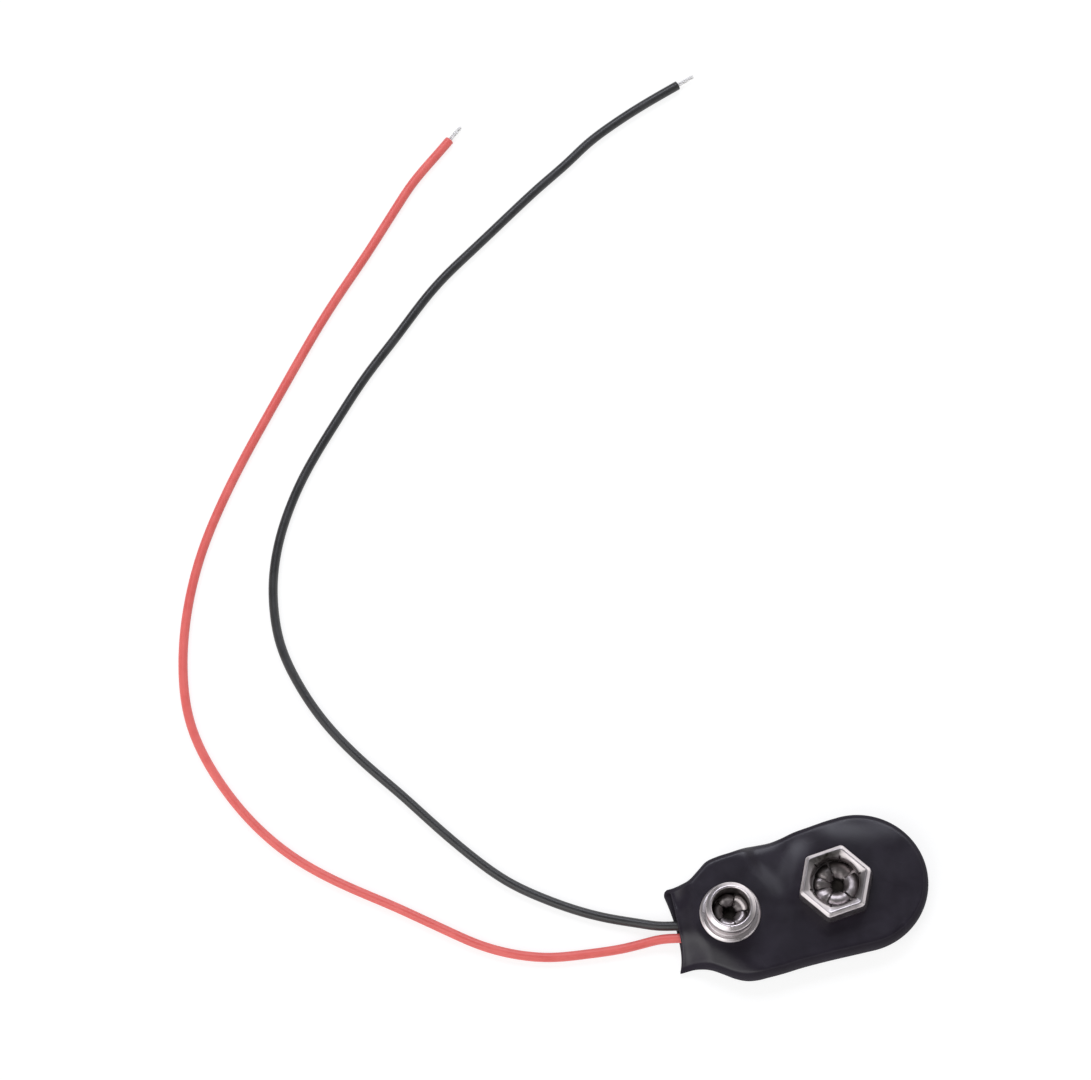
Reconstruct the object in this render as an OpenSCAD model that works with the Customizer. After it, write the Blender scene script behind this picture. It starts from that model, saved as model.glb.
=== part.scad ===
// Snap-on lead for a 9 V block battery: a soft vinyl pocket with a stiff board inside,
// a round stud, a hexagonal socket and two soldered leads. Millimetres, lying on its back,
// +X from the open mouth to the round end, +Z out of the terminals.

/* [Sleeve] */
// Width across the round end
sleeve_w = 16; // [15.6:0.1:18]
// Width beside the stud
waist_w = 15.3; // [14.6:0.1:15.6]
// Width of the neck at the open mouth
neck_w = 10; // [9:0.1:11]
// Length of the neck, from the mouth's corners to the shoulders
neck_len = 3; // [2.6:0.1:4]
// Length of the S-shaped shoulders
shoulder_len = 4; // [3.6:0.1:5]
// Length of the straight sides, from the shoulders to the round end's centre
side_len = 15.5; // [14.5:0.1:18]
// Thickness of the vinyl
vinyl_t = 0.5; // [0.35:0.05:0.7]
// How far the rounded edge reaches in from the outline
edge_reach = 1.6; // [1.2:0.1:1.9]
// How far the middle of the mouth sits back from its corners
mouth_dip = 0.65; // [0:0.05:1]

/* [Board] */
// Thickness of the fibre board
board_t = 0.8; // [0.5:0.1:1.2]
// Reach of the board past the stud's centre
board_overhang = 2.8; // [2.4:0.1:3]
// Corner radius at the board's stud end
board_corner_r = 4; // [3.5:0.1:5]

/* [Terminals] */
// Distance between the two terminals
pitch = 12.7; // [12.3:0.1:13.2]
// From the start of the straight sides to the stud's centre
stud_offset = 0.15; // [0:0.05:0.6]
// Outer diameter of the stud
stud_d = 5.5; // [5.3:0.05:5.8]
// Diameter of the stud's foot
stud_flange_d = 7.2; // [6.8:0.1:7.8]
// Width of the stud's folded rim
stud_rim_w = 0.45; // [0.4:0.01:0.5]
// Height of the stud
stud_h = 2.9; // [2.5:0.1:3.3]
// Sheet thickness of the stud
stud_sheet_t = 0.18; // [0.12:0.01:0.2]
// Socket size across its flats
socket_flats = 7.7; // [7.4:0.1:8.2]
// Height of the socket
socket_h = 2.95; // [2.7:0.05:3.3]
// Diameter of the round waist that the spring leaves close on
socket_waist_d = 5.6; // [5.4:0.05:5.8]
// Sheet thickness of the socket
socket_sheet_t = 0.25; // [0.2:0.01:0.3]
// Width of the slits between the leaves
slit_w = 0.4; // [0.2:0.05:0.6]
// Turn of the hexagon about its own axis
socket_turn = 5; // [-30:1:30]

/* [Rivets] */
// Outer diameter of the rivets' shank
shank_d = 2.6; // [2.3:0.05:2.8]
// Diameter of the rolled head
head_d = 3.9; // [3.7:0.05:4.1]
// Diameter of the clinched foot behind the board
clinch_d = 3.6; // [3.2:0.05:3.8]
// Sheet thickness of the rivets
rivet_t = 0.25; // [0.18:0.01:0.3]

/* [Leads] */
// Outer diameter of a lead
lead_d = 1.1; // [0.9:0.05:1.3]
// Diameter of the stranded conductor
conductor_d = 0.5; // [0.35:0.05:0.6]
// Bare length at each free end
tip_len = 2.2; // [1:0.1:5]
// Bare length between the insulation and the middle of its rivet
inner_bare_len = 2.9; // [2.6:0.1:3.4]

/* [Hidden] */
$fn = 64;

// Clearances
lead_slack = 0.15;
board_gap = 0.1;
punch_gap = 0.1;
shank_gap = 0.05;
head_gap = 0.12;
solder_floor_gap = 0.2;
wire_gap = 0.02;
pinch_gap = 0.1;
flange_margin = 0.3;
floor_gap = 0.01;
overcut = 1;

// Heights of the stack, from the floor up
wire_room = lead_d + 2 * lead_slack;
board_z = vinyl_t + wire_room;
front_in_z = board_z + board_t;
front_z = front_in_z + vinyl_t;
pocket_z = vinyl_t + lead_slack + lead_d / 2;
floor_z = lead_d / 2 + floor_gap;

// Places along the sleeve
end_r = sleeve_w / 2;
sleeve_len = neck_len + shoulder_len + side_len + end_r;
mouth_x = -sleeve_len / 2;
side_x = mouth_x + neck_len + shoulder_len;
end_x = side_x + side_len;
stud_x = side_x + stud_offset;
socket_x = stud_x + pitch;
pinch_x = stud_x - stud_flange_d / 2 - flange_margin;

// The mouth is held open over the pair of leads and pinched shut at its corners
mouth_t = 2 * vinyl_t + wire_room;
corner_t = 2 * vinyl_t + pinch_gap;
mouth_flat = 1.5 * lead_d + lead_slack;

// Sampling of the swept skins
mouth_ribs = 10;
side_ribs = 5;
end_ribs = 11;
nose_angle = 89;
slope_step = 0.05;
edge_angles = [0, 22.5, 45, 67.5, 90];
span_shares = [2 / 3, 1 / 3, 0, -1 / 3, -2 / 3];

// Rivets
shank_mid_r = (shank_d - rivet_t) / 2;
roll_r = (head_d / 2 - rivet_t / 2 - shank_mid_r) / 2;
roll_rise = 0.08;
clinch_bend_r = rivet_t / 2 + shank_gap;
head_splits = 6;
split_w = 0.22;

// Stud
stud_rim_r = (stud_rim_w - stud_sheet_t) / 2;
stud_bend_r = 0.3;
cup_base_r = head_d / 2 + head_gap;
cup_bend_r = stud_sheet_t / 2 + head_gap;

// Socket
socket_rim_r = 0.28;
socket_bend_r = 0.35;
socket_corner_r = 0.45;
socket_side_angles = [-30, -27, -20, -12, -4, 4, 12, 20, 27];
waist_len = 0.7;
waist_drop = 0.85;
waist_coin = 0.03;
leaf_foot_gap = 0.45;
leaf_steps = 4;
floor_hexness = 0.6;
leaf_flare = 0.18;

// Solder
solder_r = 1.5;
solder_h = wire_room - rivet_t - solder_floor_gap;
solder_sphere_r = (solder_r * solder_r + solder_h * solder_h) / (2 * solder_h);
wire_stop = 0.2;

// Leads: x, y and how much of the pocket's height is left, from the rivet to the free end
lead_sides = 8;
black_route = [[stud_x - inner_bare_len, 0, 1], [-12.5, 0, 1], [-14.5, 0.5, 1], [-16.5, 1, 0.6],
    [-18.5, 2, 0.2], [-22, 3.5, 0], [-25.5, 5.5, 0], [-29, 8, 0], [-32, 10.5, 0], [-34.5, 13.5, 0],
    [-37, 17, 0], [-39, 20, 0], [-41.5, 24, 0], [-44, 27.5, 0], [-46.5, 31.5, 0], [-48.5, 35.5, 0],
    [-50, 40, 0], [-51, 45, 0], [-50.5, 50, 0], [-49.5, 54, 0], [-47.5, 58.5, 0], [-44.5, 63, 0],
    [-41.5, 66.5, 0], [-37.5, 70.5, 0], [-33, 75, 0], [-28.5, 78.5, 0], [-24, 82.5, 0],
    [-20.5, 85, 0], [-17, 87, 0], [-12, 90, 0], [-7, 93, 0], [-3, 95, 0], [0, 97, 0], [3.5, 98.5, 0],
    [7.5, 100, 0], [12.5, 101.5, 0]];
red_route = [[socket_x - inner_bare_len, 0, 1], [0, -0.5, 1], [-2, -1.5, 1], [-4.5, -2.5, 1],
    [-7, -3, 1], [-10, -2.5, 1], [-12.5, -1.5, 1], [-14.5, -1, 1], [-16.5, -0.5, 0.6],
    [-18.5, -0.5, 0.2], [-21.5, -0.5, 0], [-25.5, 0, 0], [-29.5, 0.5, 0], [-33.5, 2, 0],
    [-37, 4, 0], [-40, 6.5, 0], [-43, 9, 0], [-46, 11.5, 0], [-50, 14.5, 0], [-54, 18, 0],
    [-57, 21.5, 0], [-59.5, 25.5, 0], [-61.5, 30, 0], [-63, 35, 0], [-63.5, 40, 0], [-62.5, 46, 0],
    [-60.5, 52, 0], [-57.5, 58, 0], [-54, 63, 0], [-50, 68, 0], [-45.5, 73, 0], [-41, 78, 0],
    [-35.5, 84, 0], [-30, 89, 0], [-27, 92, 0], [-24, 95, 0], [-21.5, 97.5, 0], [-18, 100, 0],
    [-16, 101.5, 0]];

// Small helpers
function unit(v) = v / norm(v);
function mix(a, b, t) = a + (b - a) * t;
function clip(t) = min(1, max(0, t));
function smooth(t) = (1 - cos(180 * clip(t))) / 2;
function reverse(list) = [for (k = [len(list) - 1:-1:0]) list[k]];
function last(list) = list[len(list) - 1];
function arc(centre, r, from, to, steps = 6) =
    [for (k = [0:steps]) centre + r * [cos(mix(from, to, k / steps)), sin(mix(from, to, k / steps))]];

// Section of a bent sheet: its middle line offset by half its thickness to each side
function step_dir(path, k) = unit(path[k + 1] - path[k]);
function path_dir(path, k) =
    k == 0 ? step_dir(path, 0) :
    k == len(path) - 1 ? step_dir(path, k - 1) :
    unit(step_dir(path, k - 1) + step_dir(path, k));
function offset_line(path, d) =
    [for (k = [0:len(path) - 1]) path[k] + d * [-path_dir(path, k).y, path_dir(path, k).x]];
function sheet_section(path, t) = concat(offset_line(path, t / 2), reverse(offset_line(path, -t / 2)));

// Sleeve outline: half width at a place along the straight part, neck and shoulders
function half_w(x) =
    x < side_x ? mix(neck_w, waist_w, smooth((x - mouth_x - neck_len) / shoulder_len)) / 2 :
    mix(waist_w, sleeve_w, smooth((x - side_x) / side_len)) / 2;
function wall_slope(x) = (half_w(x + slope_step) - half_w(x - slope_step)) / (2 * slope_step);
function wall_stretch(x) = norm([1, wall_slope(x)]);

// Ribs from the mouth to the nose: edge point, inward direction and wall stretch
sleeve_ribs = concat(
    [for (k = [0:mouth_ribs - 1]) let (x = mix(mouth_x, side_x, k / mouth_ribs))
        [x, half_w(x), 0, -1, wall_stretch(x)]],
    [for (k = [0:side_ribs - 1]) let (x = mix(side_x, end_x, k / side_ribs))
        [x, half_w(x), 0, -1, wall_stretch(x)]],
    [for (k = [0:end_ribs]) let (a = nose_angle * k / end_ribs)
        [end_x + end_r * sin(a), end_r * cos(a), -sin(a), -cos(a), 1]]);

// Thickness of the pocket over the floor
function corner_share(y) = smooth((abs(y) - mouth_flat) / (neck_w / 2 - mouth_flat));
function mouth_height(y) = mix(mouth_t, corner_t, corner_share(y));
function pocket_height(x, y) = mix(mouth_height(y), front_z, smooth((x - mouth_x) / (pinch_x - mouth_x)));
function mouth_fade(x) = pow(clip((pinch_x - x) / (pinch_x - mouth_x)), 2);

// One point of a skin: along a rib by depth, up (1) or down (-1) by the edge angle
function skin_point(x, y, inset, angle, up) =
    let (t = pocket_height(x, y), bow = mouth_dip * (1 - pow(2 * y / neck_w, 2)) * mouth_fade(x))
    [x + bow, y, t / 2 + up * (t / 2 - inset) * sin(angle)];
function edge_point(rib, inset, angle, side, up) =
    let (d = inset * rib[4] + (edge_reach - inset) * (1 - cos(angle)))
    skin_point(rib[0] + rib[2] * d, side * (rib[1] + rib[3] * d), inset, angle, up);
function span_points(rib, inset, up) =
    let (d = inset * rib[4] + edge_reach - inset, x = rib[0] + rib[2] * d, y = rib[1] + rib[3] * d)
    [for (share = span_shares) skin_point(x, y * share, inset, 90, up)];
function upper_edge(rib, inset, side) = [for (a = edge_angles) edge_point(rib, inset, a, side, 1)];
function lower_edge(rib, inset, side) =
    [for (k = [1:len(edge_angles) - 1]) edge_point(rib, inset, edge_angles[k], side, -1)];
function rib_loop(rib, inset) = concat(
    upper_edge(rib, inset, 1), span_points(rib, inset, 1), reverse(upper_edge(rib, inset, -1)),
    lower_edge(rib, inset, -1), reverse(span_points(rib, inset, -1)), reverse(lower_edge(rib, inset, 1)));

// Faces of a band of loops, and of the ribbon that closes its nose
loop_n = 4 * len(edge_angles) + 2 * len(span_shares) - 2;
half_n = loop_n / 2;
function band_faces(loops, first) =
    [for (i = [0:loops - 2], j = [0:loop_n - 1])
        let (a = first + i * loop_n, b = a + loop_n, k = (j + 1) % loop_n)
        [a + j, b + j, b + k, a + k]];
function fan(apex, to) = [for (k = [apex + 1:to - 1]) [apex, k + 1, k]];
function nose_faces(first) = let (rows = len(edge_angles) - 1, faces = concat(
        [for (j = [0:rows - 2]) each [
            [half_n - j, half_n - j - 1, j + 1, j],
            [loop_n - j - 1, half_n + j + 1, half_n + j, (loop_n - j) % loop_n]]],
        fan(rows - 1, half_n - rows + 1),
        fan(half_n + rows - 1, loop_n - rows + 1)))
    [for (f = faces) [for (k = f) first + k]];
function flip(faces) = [for (f = faces) reverse(f)];

module sleeve_shell() {
    outer = [for (rib = sleeve_ribs) each rib_loop(rib, 0)];
    inner = [for (rib = sleeve_ribs) each rib_loop(rib, vinyl_t)];
    n = len(sleeve_ribs);
    all_outer = len(outer);
    mouth = [for (j = [0:loop_n - 1]) let (k = (j + 1) % loop_n) [j, k, all_outer + k, all_outer + j]];
    polyhedron(concat(outer, inner), concat(
        band_faces(n, 0), nose_faces((n - 1) * loop_n),
        flip(band_faces(n, all_outer)), flip(nose_faces(all_outer + (n - 1) * loop_n)),
        mouth));
}

// Soft pocket with the two punched holes for the rivets
module vinyl_sleeve() {
    color("#302d34") difference() {
        sleeve_shell();
        for (x = [stud_x, socket_x])
            translate([x, 0, front_in_z - vinyl_t])
                cylinder(d = shank_d + 2 * punch_gap, h = 3 * vinyl_t);
    }
}

// Board outline: a round end under the socket, large corners under the stud
module board_outline() {
    half = min(waist_w, sleeve_w) / 2 - edge_reach - board_gap;
    x = stud_x - board_overhang;
    inset = half - board_corner_r;
    translate([end_x, 0]) circle(half);
    translate([x + board_corner_r, -half]) square([end_x - x - board_corner_r, 2 * half]);
    translate([x, -inset]) square([board_corner_r, 2 * inset]);
    for (side = [-1, 1])
        translate([x + board_corner_r, side * inset]) circle(board_corner_r);
}

module terminal_board() {
    color("#6b4a2f") translate([0, 0, board_z]) difference() {
        linear_extrude(board_t) board_outline();
        for (x = [stud_x, socket_x])
            translate([x, 0, -overcut]) cylinder(d = shank_d + 2 * shank_gap, h = board_t + 2 * overcut);
    }
}

// Stud: one sheet from the riveted cup floor up, over the folded rim, down and out to the foot
module stud_terminal() {
    z = stud_sheet_t / 2;
    cup_r = cup_base_r + stud_sheet_t / 2;
    wall_r = stud_d / 2 - stud_sheet_t / 2;
    rim = [wall_r - stud_rim_r, stud_h - stud_sheet_t / 2 - stud_rim_r];
    path = concat(
        [[shank_d / 2 + shank_gap, z]],
        arc([cup_r - cup_bend_r, z + cup_bend_r], cup_bend_r, -90, 0),
        arc(rim, stud_rim_r, 180, 0, 10),
        arc([wall_r + stud_bend_r, z + stud_bend_r], stud_bend_r, 180, 270),
        [[stud_flange_d / 2, z]]);
    color("#c9c6c4") translate([stud_x, 0, front_z])
        rotate_extrude() polygon(sheet_section(path, stud_sheet_t));
}

// Radius of a rounded hexagon whose flats lie at r, at an angle from the middle of a flat
function hex_radius(r, angle) =
    let (inner = r - socket_corner_r, c = inner / cos(30), a = abs(angle), flat = atan(inner * tan(30) / r))
    a < flat ? r / cos(a) :
    c * cos(30 - a) + sqrt(pow(socket_corner_r, 2) - pow(c * sin(30 - a), 2));

// Socket sheet: middle line as radius and height, with how hexagonal each point is
socket_wall_r = (socket_flats - socket_sheet_t) / 2;
socket_base_z = socket_sheet_t / 2;
socket_rim_z = socket_h - socket_sheet_t / 2 - socket_rim_r;
waist_top_z = socket_rim_z - waist_drop;
waist_r = (socket_waist_d + socket_sheet_t) / 2 - waist_coin;
socket_floor = [[shank_d / 2 - shank_gap, socket_base_z], [socket_wall_r / 2, socket_base_z]];
socket_wall = concat(
    arc([socket_wall_r - socket_bend_r, socket_base_z + socket_bend_r], socket_bend_r, -90, 0, 4),
    arc([socket_wall_r - socket_rim_r, socket_rim_z], socket_rim_r, 0, 180, 8));
socket_leaf = [for (k = [1:leaf_steps]) let (t = k / leaf_steps)
    [mix(last(socket_wall).x, waist_r, smooth(t)), mix(socket_rim_z, waist_top_z, t)]];
socket_foot = [
    [waist_r, waist_top_z - waist_len],
    [waist_r + leaf_flare, socket_sheet_t + leaf_foot_gap]];
socket_path = concat(socket_floor, socket_wall, socket_leaf, socket_foot);
socket_hexness = concat(
    [0, floor_hexness], [for (p = socket_wall) 1],
    [for (k = [1:leaf_steps]) 1 - smooth(k / leaf_steps)], [0, 0]);

// The sheet swept round the axis, each point between a circle and a hexagon
module socket_sheet() {
    section = sheet_section(socket_path, socket_sheet_t);
    hexness = concat(socket_hexness, reverse(socket_hexness));
    angles = [for (side = [0:5]) each [for (a = socket_side_angles) [60 * side + a, a]]];
    m = len(section);
    n = len(angles);
    points = [for (a = angles, k = [0:m - 1])
        let (r = mix(section[k].x, hex_radius(section[k].x, a[1]), hexness[k]))
        [r * cos(a[0]), r * sin(a[0]), section[k].y]];
    faces = [for (i = [0:n - 1], k = [0:m - 1])
        let (a = i * m, b = (i + 1) % n * m, next = (k + 1) % m)
        [a + k, b + k, b + next, a + next]];
    polyhedron(points, faces);
}

// Hexagonal socket with a rolled rim, six leaves parted at the corners and a round waist
module socket_terminal() {
    slit_r = (socket_wall_r - socket_rim_r) / cos(30);
    leaf_z = socket_sheet_t + leaf_foot_gap / 2;
    color("#c9c6c4") translate([socket_x, 0, front_z]) rotate(socket_turn + 30) difference() {
        socket_sheet();
        translate([0, 0, -overcut]) cylinder(d = shank_d + 2 * shank_gap, h = overcut + leaf_z);
        translate([0, 0, leaf_z]) cylinder(d = socket_waist_d, h = socket_h);
        for (k = [0:5])
            rotate(60 * k + 30)
                translate([0, -slit_w / 2, leaf_z])
                    cube([slit_r, slit_w, socket_rim_z - leaf_z]);
    }
}

// Hollow rivet: clinched foot behind the board, shank, and a split head rolled onto the terminal
module rivet(x, sheet_t) {
    top = front_z + sheet_t;
    foot_z = board_z - rivet_t / 2;
    roll_z = top + roll_rise;
    path = concat(
        [[clinch_d / 2, foot_z]],
        arc([shank_mid_r + clinch_bend_r, foot_z + clinch_bend_r], clinch_bend_r, 270, 180, 4),
        arc([shank_mid_r + roll_r, roll_z], roll_r, 180, 0, 10),
        [[shank_mid_r + 2 * roll_r, top]]);
    translate([x, 0, 0]) difference() {
        rotate_extrude() polygon(sheet_section(path, rivet_t));
        for (k = [0:head_splits - 1])
            rotate(360 / head_splits * k)
                translate([shank_mid_r + roll_r, -split_w / 2, top - overcut])
                    cube([head_d, split_w, 3 * overcut]);
    }
}

module stud_rivet() {
    color("#b8b4ae") rivet(stud_x, stud_sheet_t);
}

module socket_rivet() {
    color("#b8b4ae") rivet(socket_x, socket_sheet_t);
}

// Solder cap on a rivet's clinched foot, with the hole that the conductor fills
module solder(x) {
    color("#a9abad") translate([x, 0, board_z - rivet_t - solder_h]) difference() {
        intersection() {
            translate([0, 0, solder_sphere_r]) sphere(solder_sphere_r);
            cylinder(r = 2 * solder_r, h = solder_h);
        }
        translate([-wire_stop, 0, pocket_z - board_z + rivet_t + solder_h])
            rotate([0, -90, 0])
                cylinder(d = conductor_d + 2 * wire_gap, h = 2 * solder_r);
    }
}

module stud_solder() {
    solder(stud_x);
}

module socket_solder() {
    solder(socket_x);
}

// Lead routes in space, which start straight away from the rivet, and the tube swept along them
function lead_points(route) = [for (p = route) [p.x, p.y, mix(floor_z, pocket_z, p.z)]];
function lead_dir(path, k) = k == 0 ? [-1, 0, 0] : path_dir(path, k);
function ring(centre, dir) =
    let (side = unit(cross(dir, [0, 0, 1])), up = cross(side, dir), r = lead_d / 2 / cos(180 / lead_sides))
    [for (k = [0:lead_sides - 1]) let (a = 360 * (k + 0.5) / lead_sides)
        centre + r * (cos(a) * side + sin(a) * up)];

module lead(route) {
    path = lead_points(route);
    n = len(path);
    points = [for (k = [0:n - 1]) each ring(path[k], lead_dir(path, k))];
    sides = [for (i = [0:n - 2], j = [0:lead_sides - 1])
        let (a = i * lead_sides, b = a + lead_sides, k = (j + 1) % lead_sides)
        [a + j, a + k, b + k, b + j]];
    start = [for (j = [lead_sides - 1:-1:0]) j];
    end = [for (j = [0:lead_sides - 1]) (n - 1) * lead_sides + j];
    polyhedron(points, concat(sides, [start, end]));
}

module black_lead() {
    color("#2b2b2e") lead(black_route);
}

module red_lead() {
    color("#e04a44") lead(red_route);
}

// Bare conductor: the end in its solder joint, and the tinned tip past the free end
module conductor(route) {
    path = lead_points(route);
    dir = path_dir(path, len(path) - 1);
    color("#c8c5bf") {
        translate(path[0])
            rotate([0, 90, 0])
                cylinder(d = conductor_d, h = inner_bare_len - wire_stop - wire_gap);
        translate(last(path))
            rotate([0, 90, atan2(dir.y, dir.x)])
                cylinder(d = conductor_d, h = tip_len);
    }
}

module black_conductor() {
    conductor(black_route);
}

module red_conductor() {
    conductor(red_route);
}

vinyl_sleeve();
terminal_board();
stud_terminal();
socket_terminal();
stud_rivet();
socket_rivet();
stud_solder();
socket_solder();
black_lead();
red_lead();
black_conductor();
red_conductor();
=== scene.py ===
"""Looks of a snap lead for a 9 V block battery.

A soft vinyl pocket carries a round stud and a hexagonal spring socket, each held by a hollow rivet, and two
thin leads run out of its open mouth to bare tinned tips. Sizes are in millimetres and angles in degrees, in
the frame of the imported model, and every mesh is scaled to metres when it is made.
"""

import logging
import math
from collections.abc import Sequence
from dataclasses import dataclass, field
from enum import Enum

import bmesh
import bpy
import numpy as np
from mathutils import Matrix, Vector


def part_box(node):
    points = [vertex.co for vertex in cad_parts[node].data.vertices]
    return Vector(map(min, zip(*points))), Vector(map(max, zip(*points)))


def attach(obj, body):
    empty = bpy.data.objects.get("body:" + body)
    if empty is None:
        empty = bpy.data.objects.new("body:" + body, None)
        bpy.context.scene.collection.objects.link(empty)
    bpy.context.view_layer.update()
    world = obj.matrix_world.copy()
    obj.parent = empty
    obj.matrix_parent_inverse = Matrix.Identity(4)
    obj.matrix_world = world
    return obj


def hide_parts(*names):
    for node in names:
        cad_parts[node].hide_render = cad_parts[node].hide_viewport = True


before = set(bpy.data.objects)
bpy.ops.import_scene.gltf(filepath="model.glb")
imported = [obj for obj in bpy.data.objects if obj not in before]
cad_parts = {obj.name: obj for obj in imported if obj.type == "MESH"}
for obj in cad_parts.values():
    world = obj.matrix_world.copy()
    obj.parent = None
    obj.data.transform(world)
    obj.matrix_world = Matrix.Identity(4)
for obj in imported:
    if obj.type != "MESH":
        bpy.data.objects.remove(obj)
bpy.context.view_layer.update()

MM = 0.001
BODY = "root"
UP = (0.0, 0.0, 1.0)
WHITE = (1.0, 1.0, 1.0, 1.0)

log = logging.getLogger("battery_snap")

Colour = tuple[float, float, float]
Place = tuple[float, float, float]
Span = tuple[float, float]
Values = np.ndarray | float
Faces = list[Sequence[int]]
Feed = bpy.types.NodeSocket
Outputs = bpy.types.bpy_prop_collection
Inputs = dict[str | int, object]


class Polarity(Enum):
    """Which of the two leads a piece belongs to."""

    BLACK = "black"
    RED = "red"


class Terminal(Enum):
    """Which of the two snaps a piece belongs to."""

    STUD = "stud"
    SOCKET = "socket"

    @property
    def node(self) -> str:
        """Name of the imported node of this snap."""
        return f"{self.value}_terminal"

    def seat(self) -> Vector:
        """Middle of the snap's foot in millimetres, read from the frame."""
        low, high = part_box(self.node)
        return Vector(((low.x + high.x) / 2, (low.y + high.y) / 2, low.z)) / MM


# Shapes

def smooth(t: Values) -> Values:
    """Soft step from 0 to 1 as t goes from 0 to 1."""
    return (1 - np.cos(np.pi * np.clip(t, 0, 1))) / 2


def mix(a: Values, b: Values, t: Values) -> Values:
    """Value that lies at the share t between a and b."""
    return a + (b - a) * t


@dataclass(frozen=True)
class Ramp:
    """Soft step, 0 at its start and 1 a length further on, or further back where that is negative."""

    start: float
    length: float

    def at(self, value: Values) -> Values:
        """Height of the step at a value."""
        return smooth((value - self.start) / self.length)


@dataclass(frozen=True)
class Hump:
    """Soft hump, 1 at its middle, with a flatter top and steeper sides where its power is higher."""

    middle: float
    width: float
    power: int = 2

    def at(self, value: Values) -> Values:
        """Height of the hump at a value."""
        return np.exp(-(((value - self.middle) / self.width) ** self.power))


def curve(points: Sequence[Span], at: np.ndarray) -> np.ndarray:
    """Smooth line through points, read at the given places.

    Args:
        points: Places and values, with rising places.
        at: Where to read the line.

    Returns:
        The values there.
    """
    x, y = np.array(points).T
    slope = np.gradient(y, x)
    i = np.clip(np.searchsorted(x, at) - 1, 0, len(x) - 2)
    wide = x[i + 1] - x[i]
    t = (at - x[i]) / wide
    lead = y[i] * (1 + 2 * t) * (1 - t) ** 2 + wide * slope[i] * t * (1 - t) ** 2
    return lead + y[i + 1] * t**2 * (3 - 2 * t) + wide * slope[i + 1] * t**2 * (t - 1)


def arc(centre: Sequence[float], r: float, start: float, end: float, steps: int) -> np.ndarray:
    """Points along a circular arc.

    Args:
        centre: Middle of the circle.
        r: Radius.
        start: First angle.
        end: Last angle.
        steps: Number of stretches between the points.

    Returns:
        One row per point.
    """
    angle = np.radians(np.linspace(start, end, steps + 1))
    return np.column_stack((centre[0] + r * np.cos(angle), centre[1] + r * np.sin(angle)))


def straight(
    start: Sequence[float], end: Sequence[float], steps: int,
    with_start: bool = False, with_end: bool = False,
) -> np.ndarray:
    """Points along a straight stretch.

    Args:
        start: Where it starts.
        end: Where it ends.
        steps: Number of equal steps between the two.
        with_start: Whether the start is one of the points.
        with_end: Whether the end is.

    Returns:
        One row per point.
    """
    share = np.linspace(0, 1, steps + 1)[0 if with_start else 1:None if with_end else -1, None]
    return mix(np.array(start), np.array(end), share)


def around(axis: Vector, r: Values, angle: Values, z: Values) -> np.ndarray:
    """Points about an upright axis.

    Args:
        axis: A point on the axis.
        r: Distances from it.
        angle: Directions in radians.
        z: Heights.

    Returns:
        The points, in rows as the values have them.
    """
    flat = (axis.x + r * np.cos(angle), axis.y + r * np.sin(angle))
    return np.stack(np.broadcast_arrays(*flat, z), axis=-1)


def tangents(path: np.ndarray) -> np.ndarray:
    """Unit direction at each point of an open path."""
    steps = np.gradient(path, axis=0)
    return steps / np.linalg.norm(steps, axis=1, keepdims=True)


def thick_outline(path: np.ndarray, thickness: float, cap_steps: int = 5) -> np.ndarray:
    """Closed outline of a bent sheet with round edges.

    Args:
        path: Middle line of the sheet, as radius and height.
        thickness: Sheet thickness.
        cap_steps: Stretches along each round edge.

    Returns:
        The outline's points in order.
    """
    along = tangents(path)
    side = np.column_stack((-along[:, 1], along[:, 0])) * thickness / 2
    turn = np.radians(np.linspace(0, 180, cap_steps + 1))[1:-1, None]
    end_cap = path[-1] + side[-1] * np.cos(turn) + along[-1] * thickness / 2 * np.sin(turn)
    start_cap = path[0] - side[0] * np.cos(turn) - along[0] * thickness / 2 * np.sin(turn)
    return np.vstack((path + side, end_cap, (path - side)[::-1], start_cap))


def grid_faces(rows: int, columns: int, wrap_rows: bool = False, wrap_columns: bool = False) -> Faces:
    """Four-sided faces of a grid of points that is stored row by row.

    Args:
        rows: Number of rows.
        columns: Number of points in a row.
        wrap_rows: Whether the last row joins the first.
        wrap_columns: Whether each row is closed.

    Returns:
        The faces as point numbers.
    """
    return [
        (
            i * columns + j,
            (i + 1) % rows * columns + j,
            (i + 1) % rows * columns + (j + 1) % columns,
            i * columns + (j + 1) % columns,
        )
        for i in range(rows if wrap_rows else rows - 1)
        for j in range(columns if wrap_columns else columns - 1)
    ]


def new_piece(name: str, points: np.ndarray, faces: Faces, **masks: np.ndarray) -> bpy.types.Object:
    """Makes a smooth mesh object and lets it ride on the part.

    Args:
        name: Name of the piece.
        points: Its points, in any number of rows.
        faces: Its faces as point numbers.
        masks: Values from 0 to 1 at each point that its finish reads, by name.

    Returns:
        The new object.
    """
    weld = 1e-4
    mesh = bpy.data.meshes.new(name)
    mesh.from_pydata((points.reshape(-1, 3) * MM).tolist(), [], faces)
    for key, values in masks.items():
        store = mesh.attributes.new(key, "FLOAT", "POINT")
        store.data.foreach_set("value", values.reshape(-1).astype(np.float32))
    shape = bmesh.new()
    shape.from_mesh(mesh)
    bmesh.ops.remove_doubles(shape, verts=shape.verts, dist=weld * MM)
    bmesh.ops.recalc_face_normals(shape, faces=shape.faces)
    shape.to_mesh(mesh)
    shape.free()
    mesh.shade_smooth()
    piece = bpy.data.objects.new(name, mesh)
    bpy.context.scene.collection.objects.link(piece)
    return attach(piece, BODY)


# Finishes

def rgba(colour: Colour) -> tuple[float, float, float, float]:
    """Colour with full cover."""
    return (*colour, 1.0)


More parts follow.
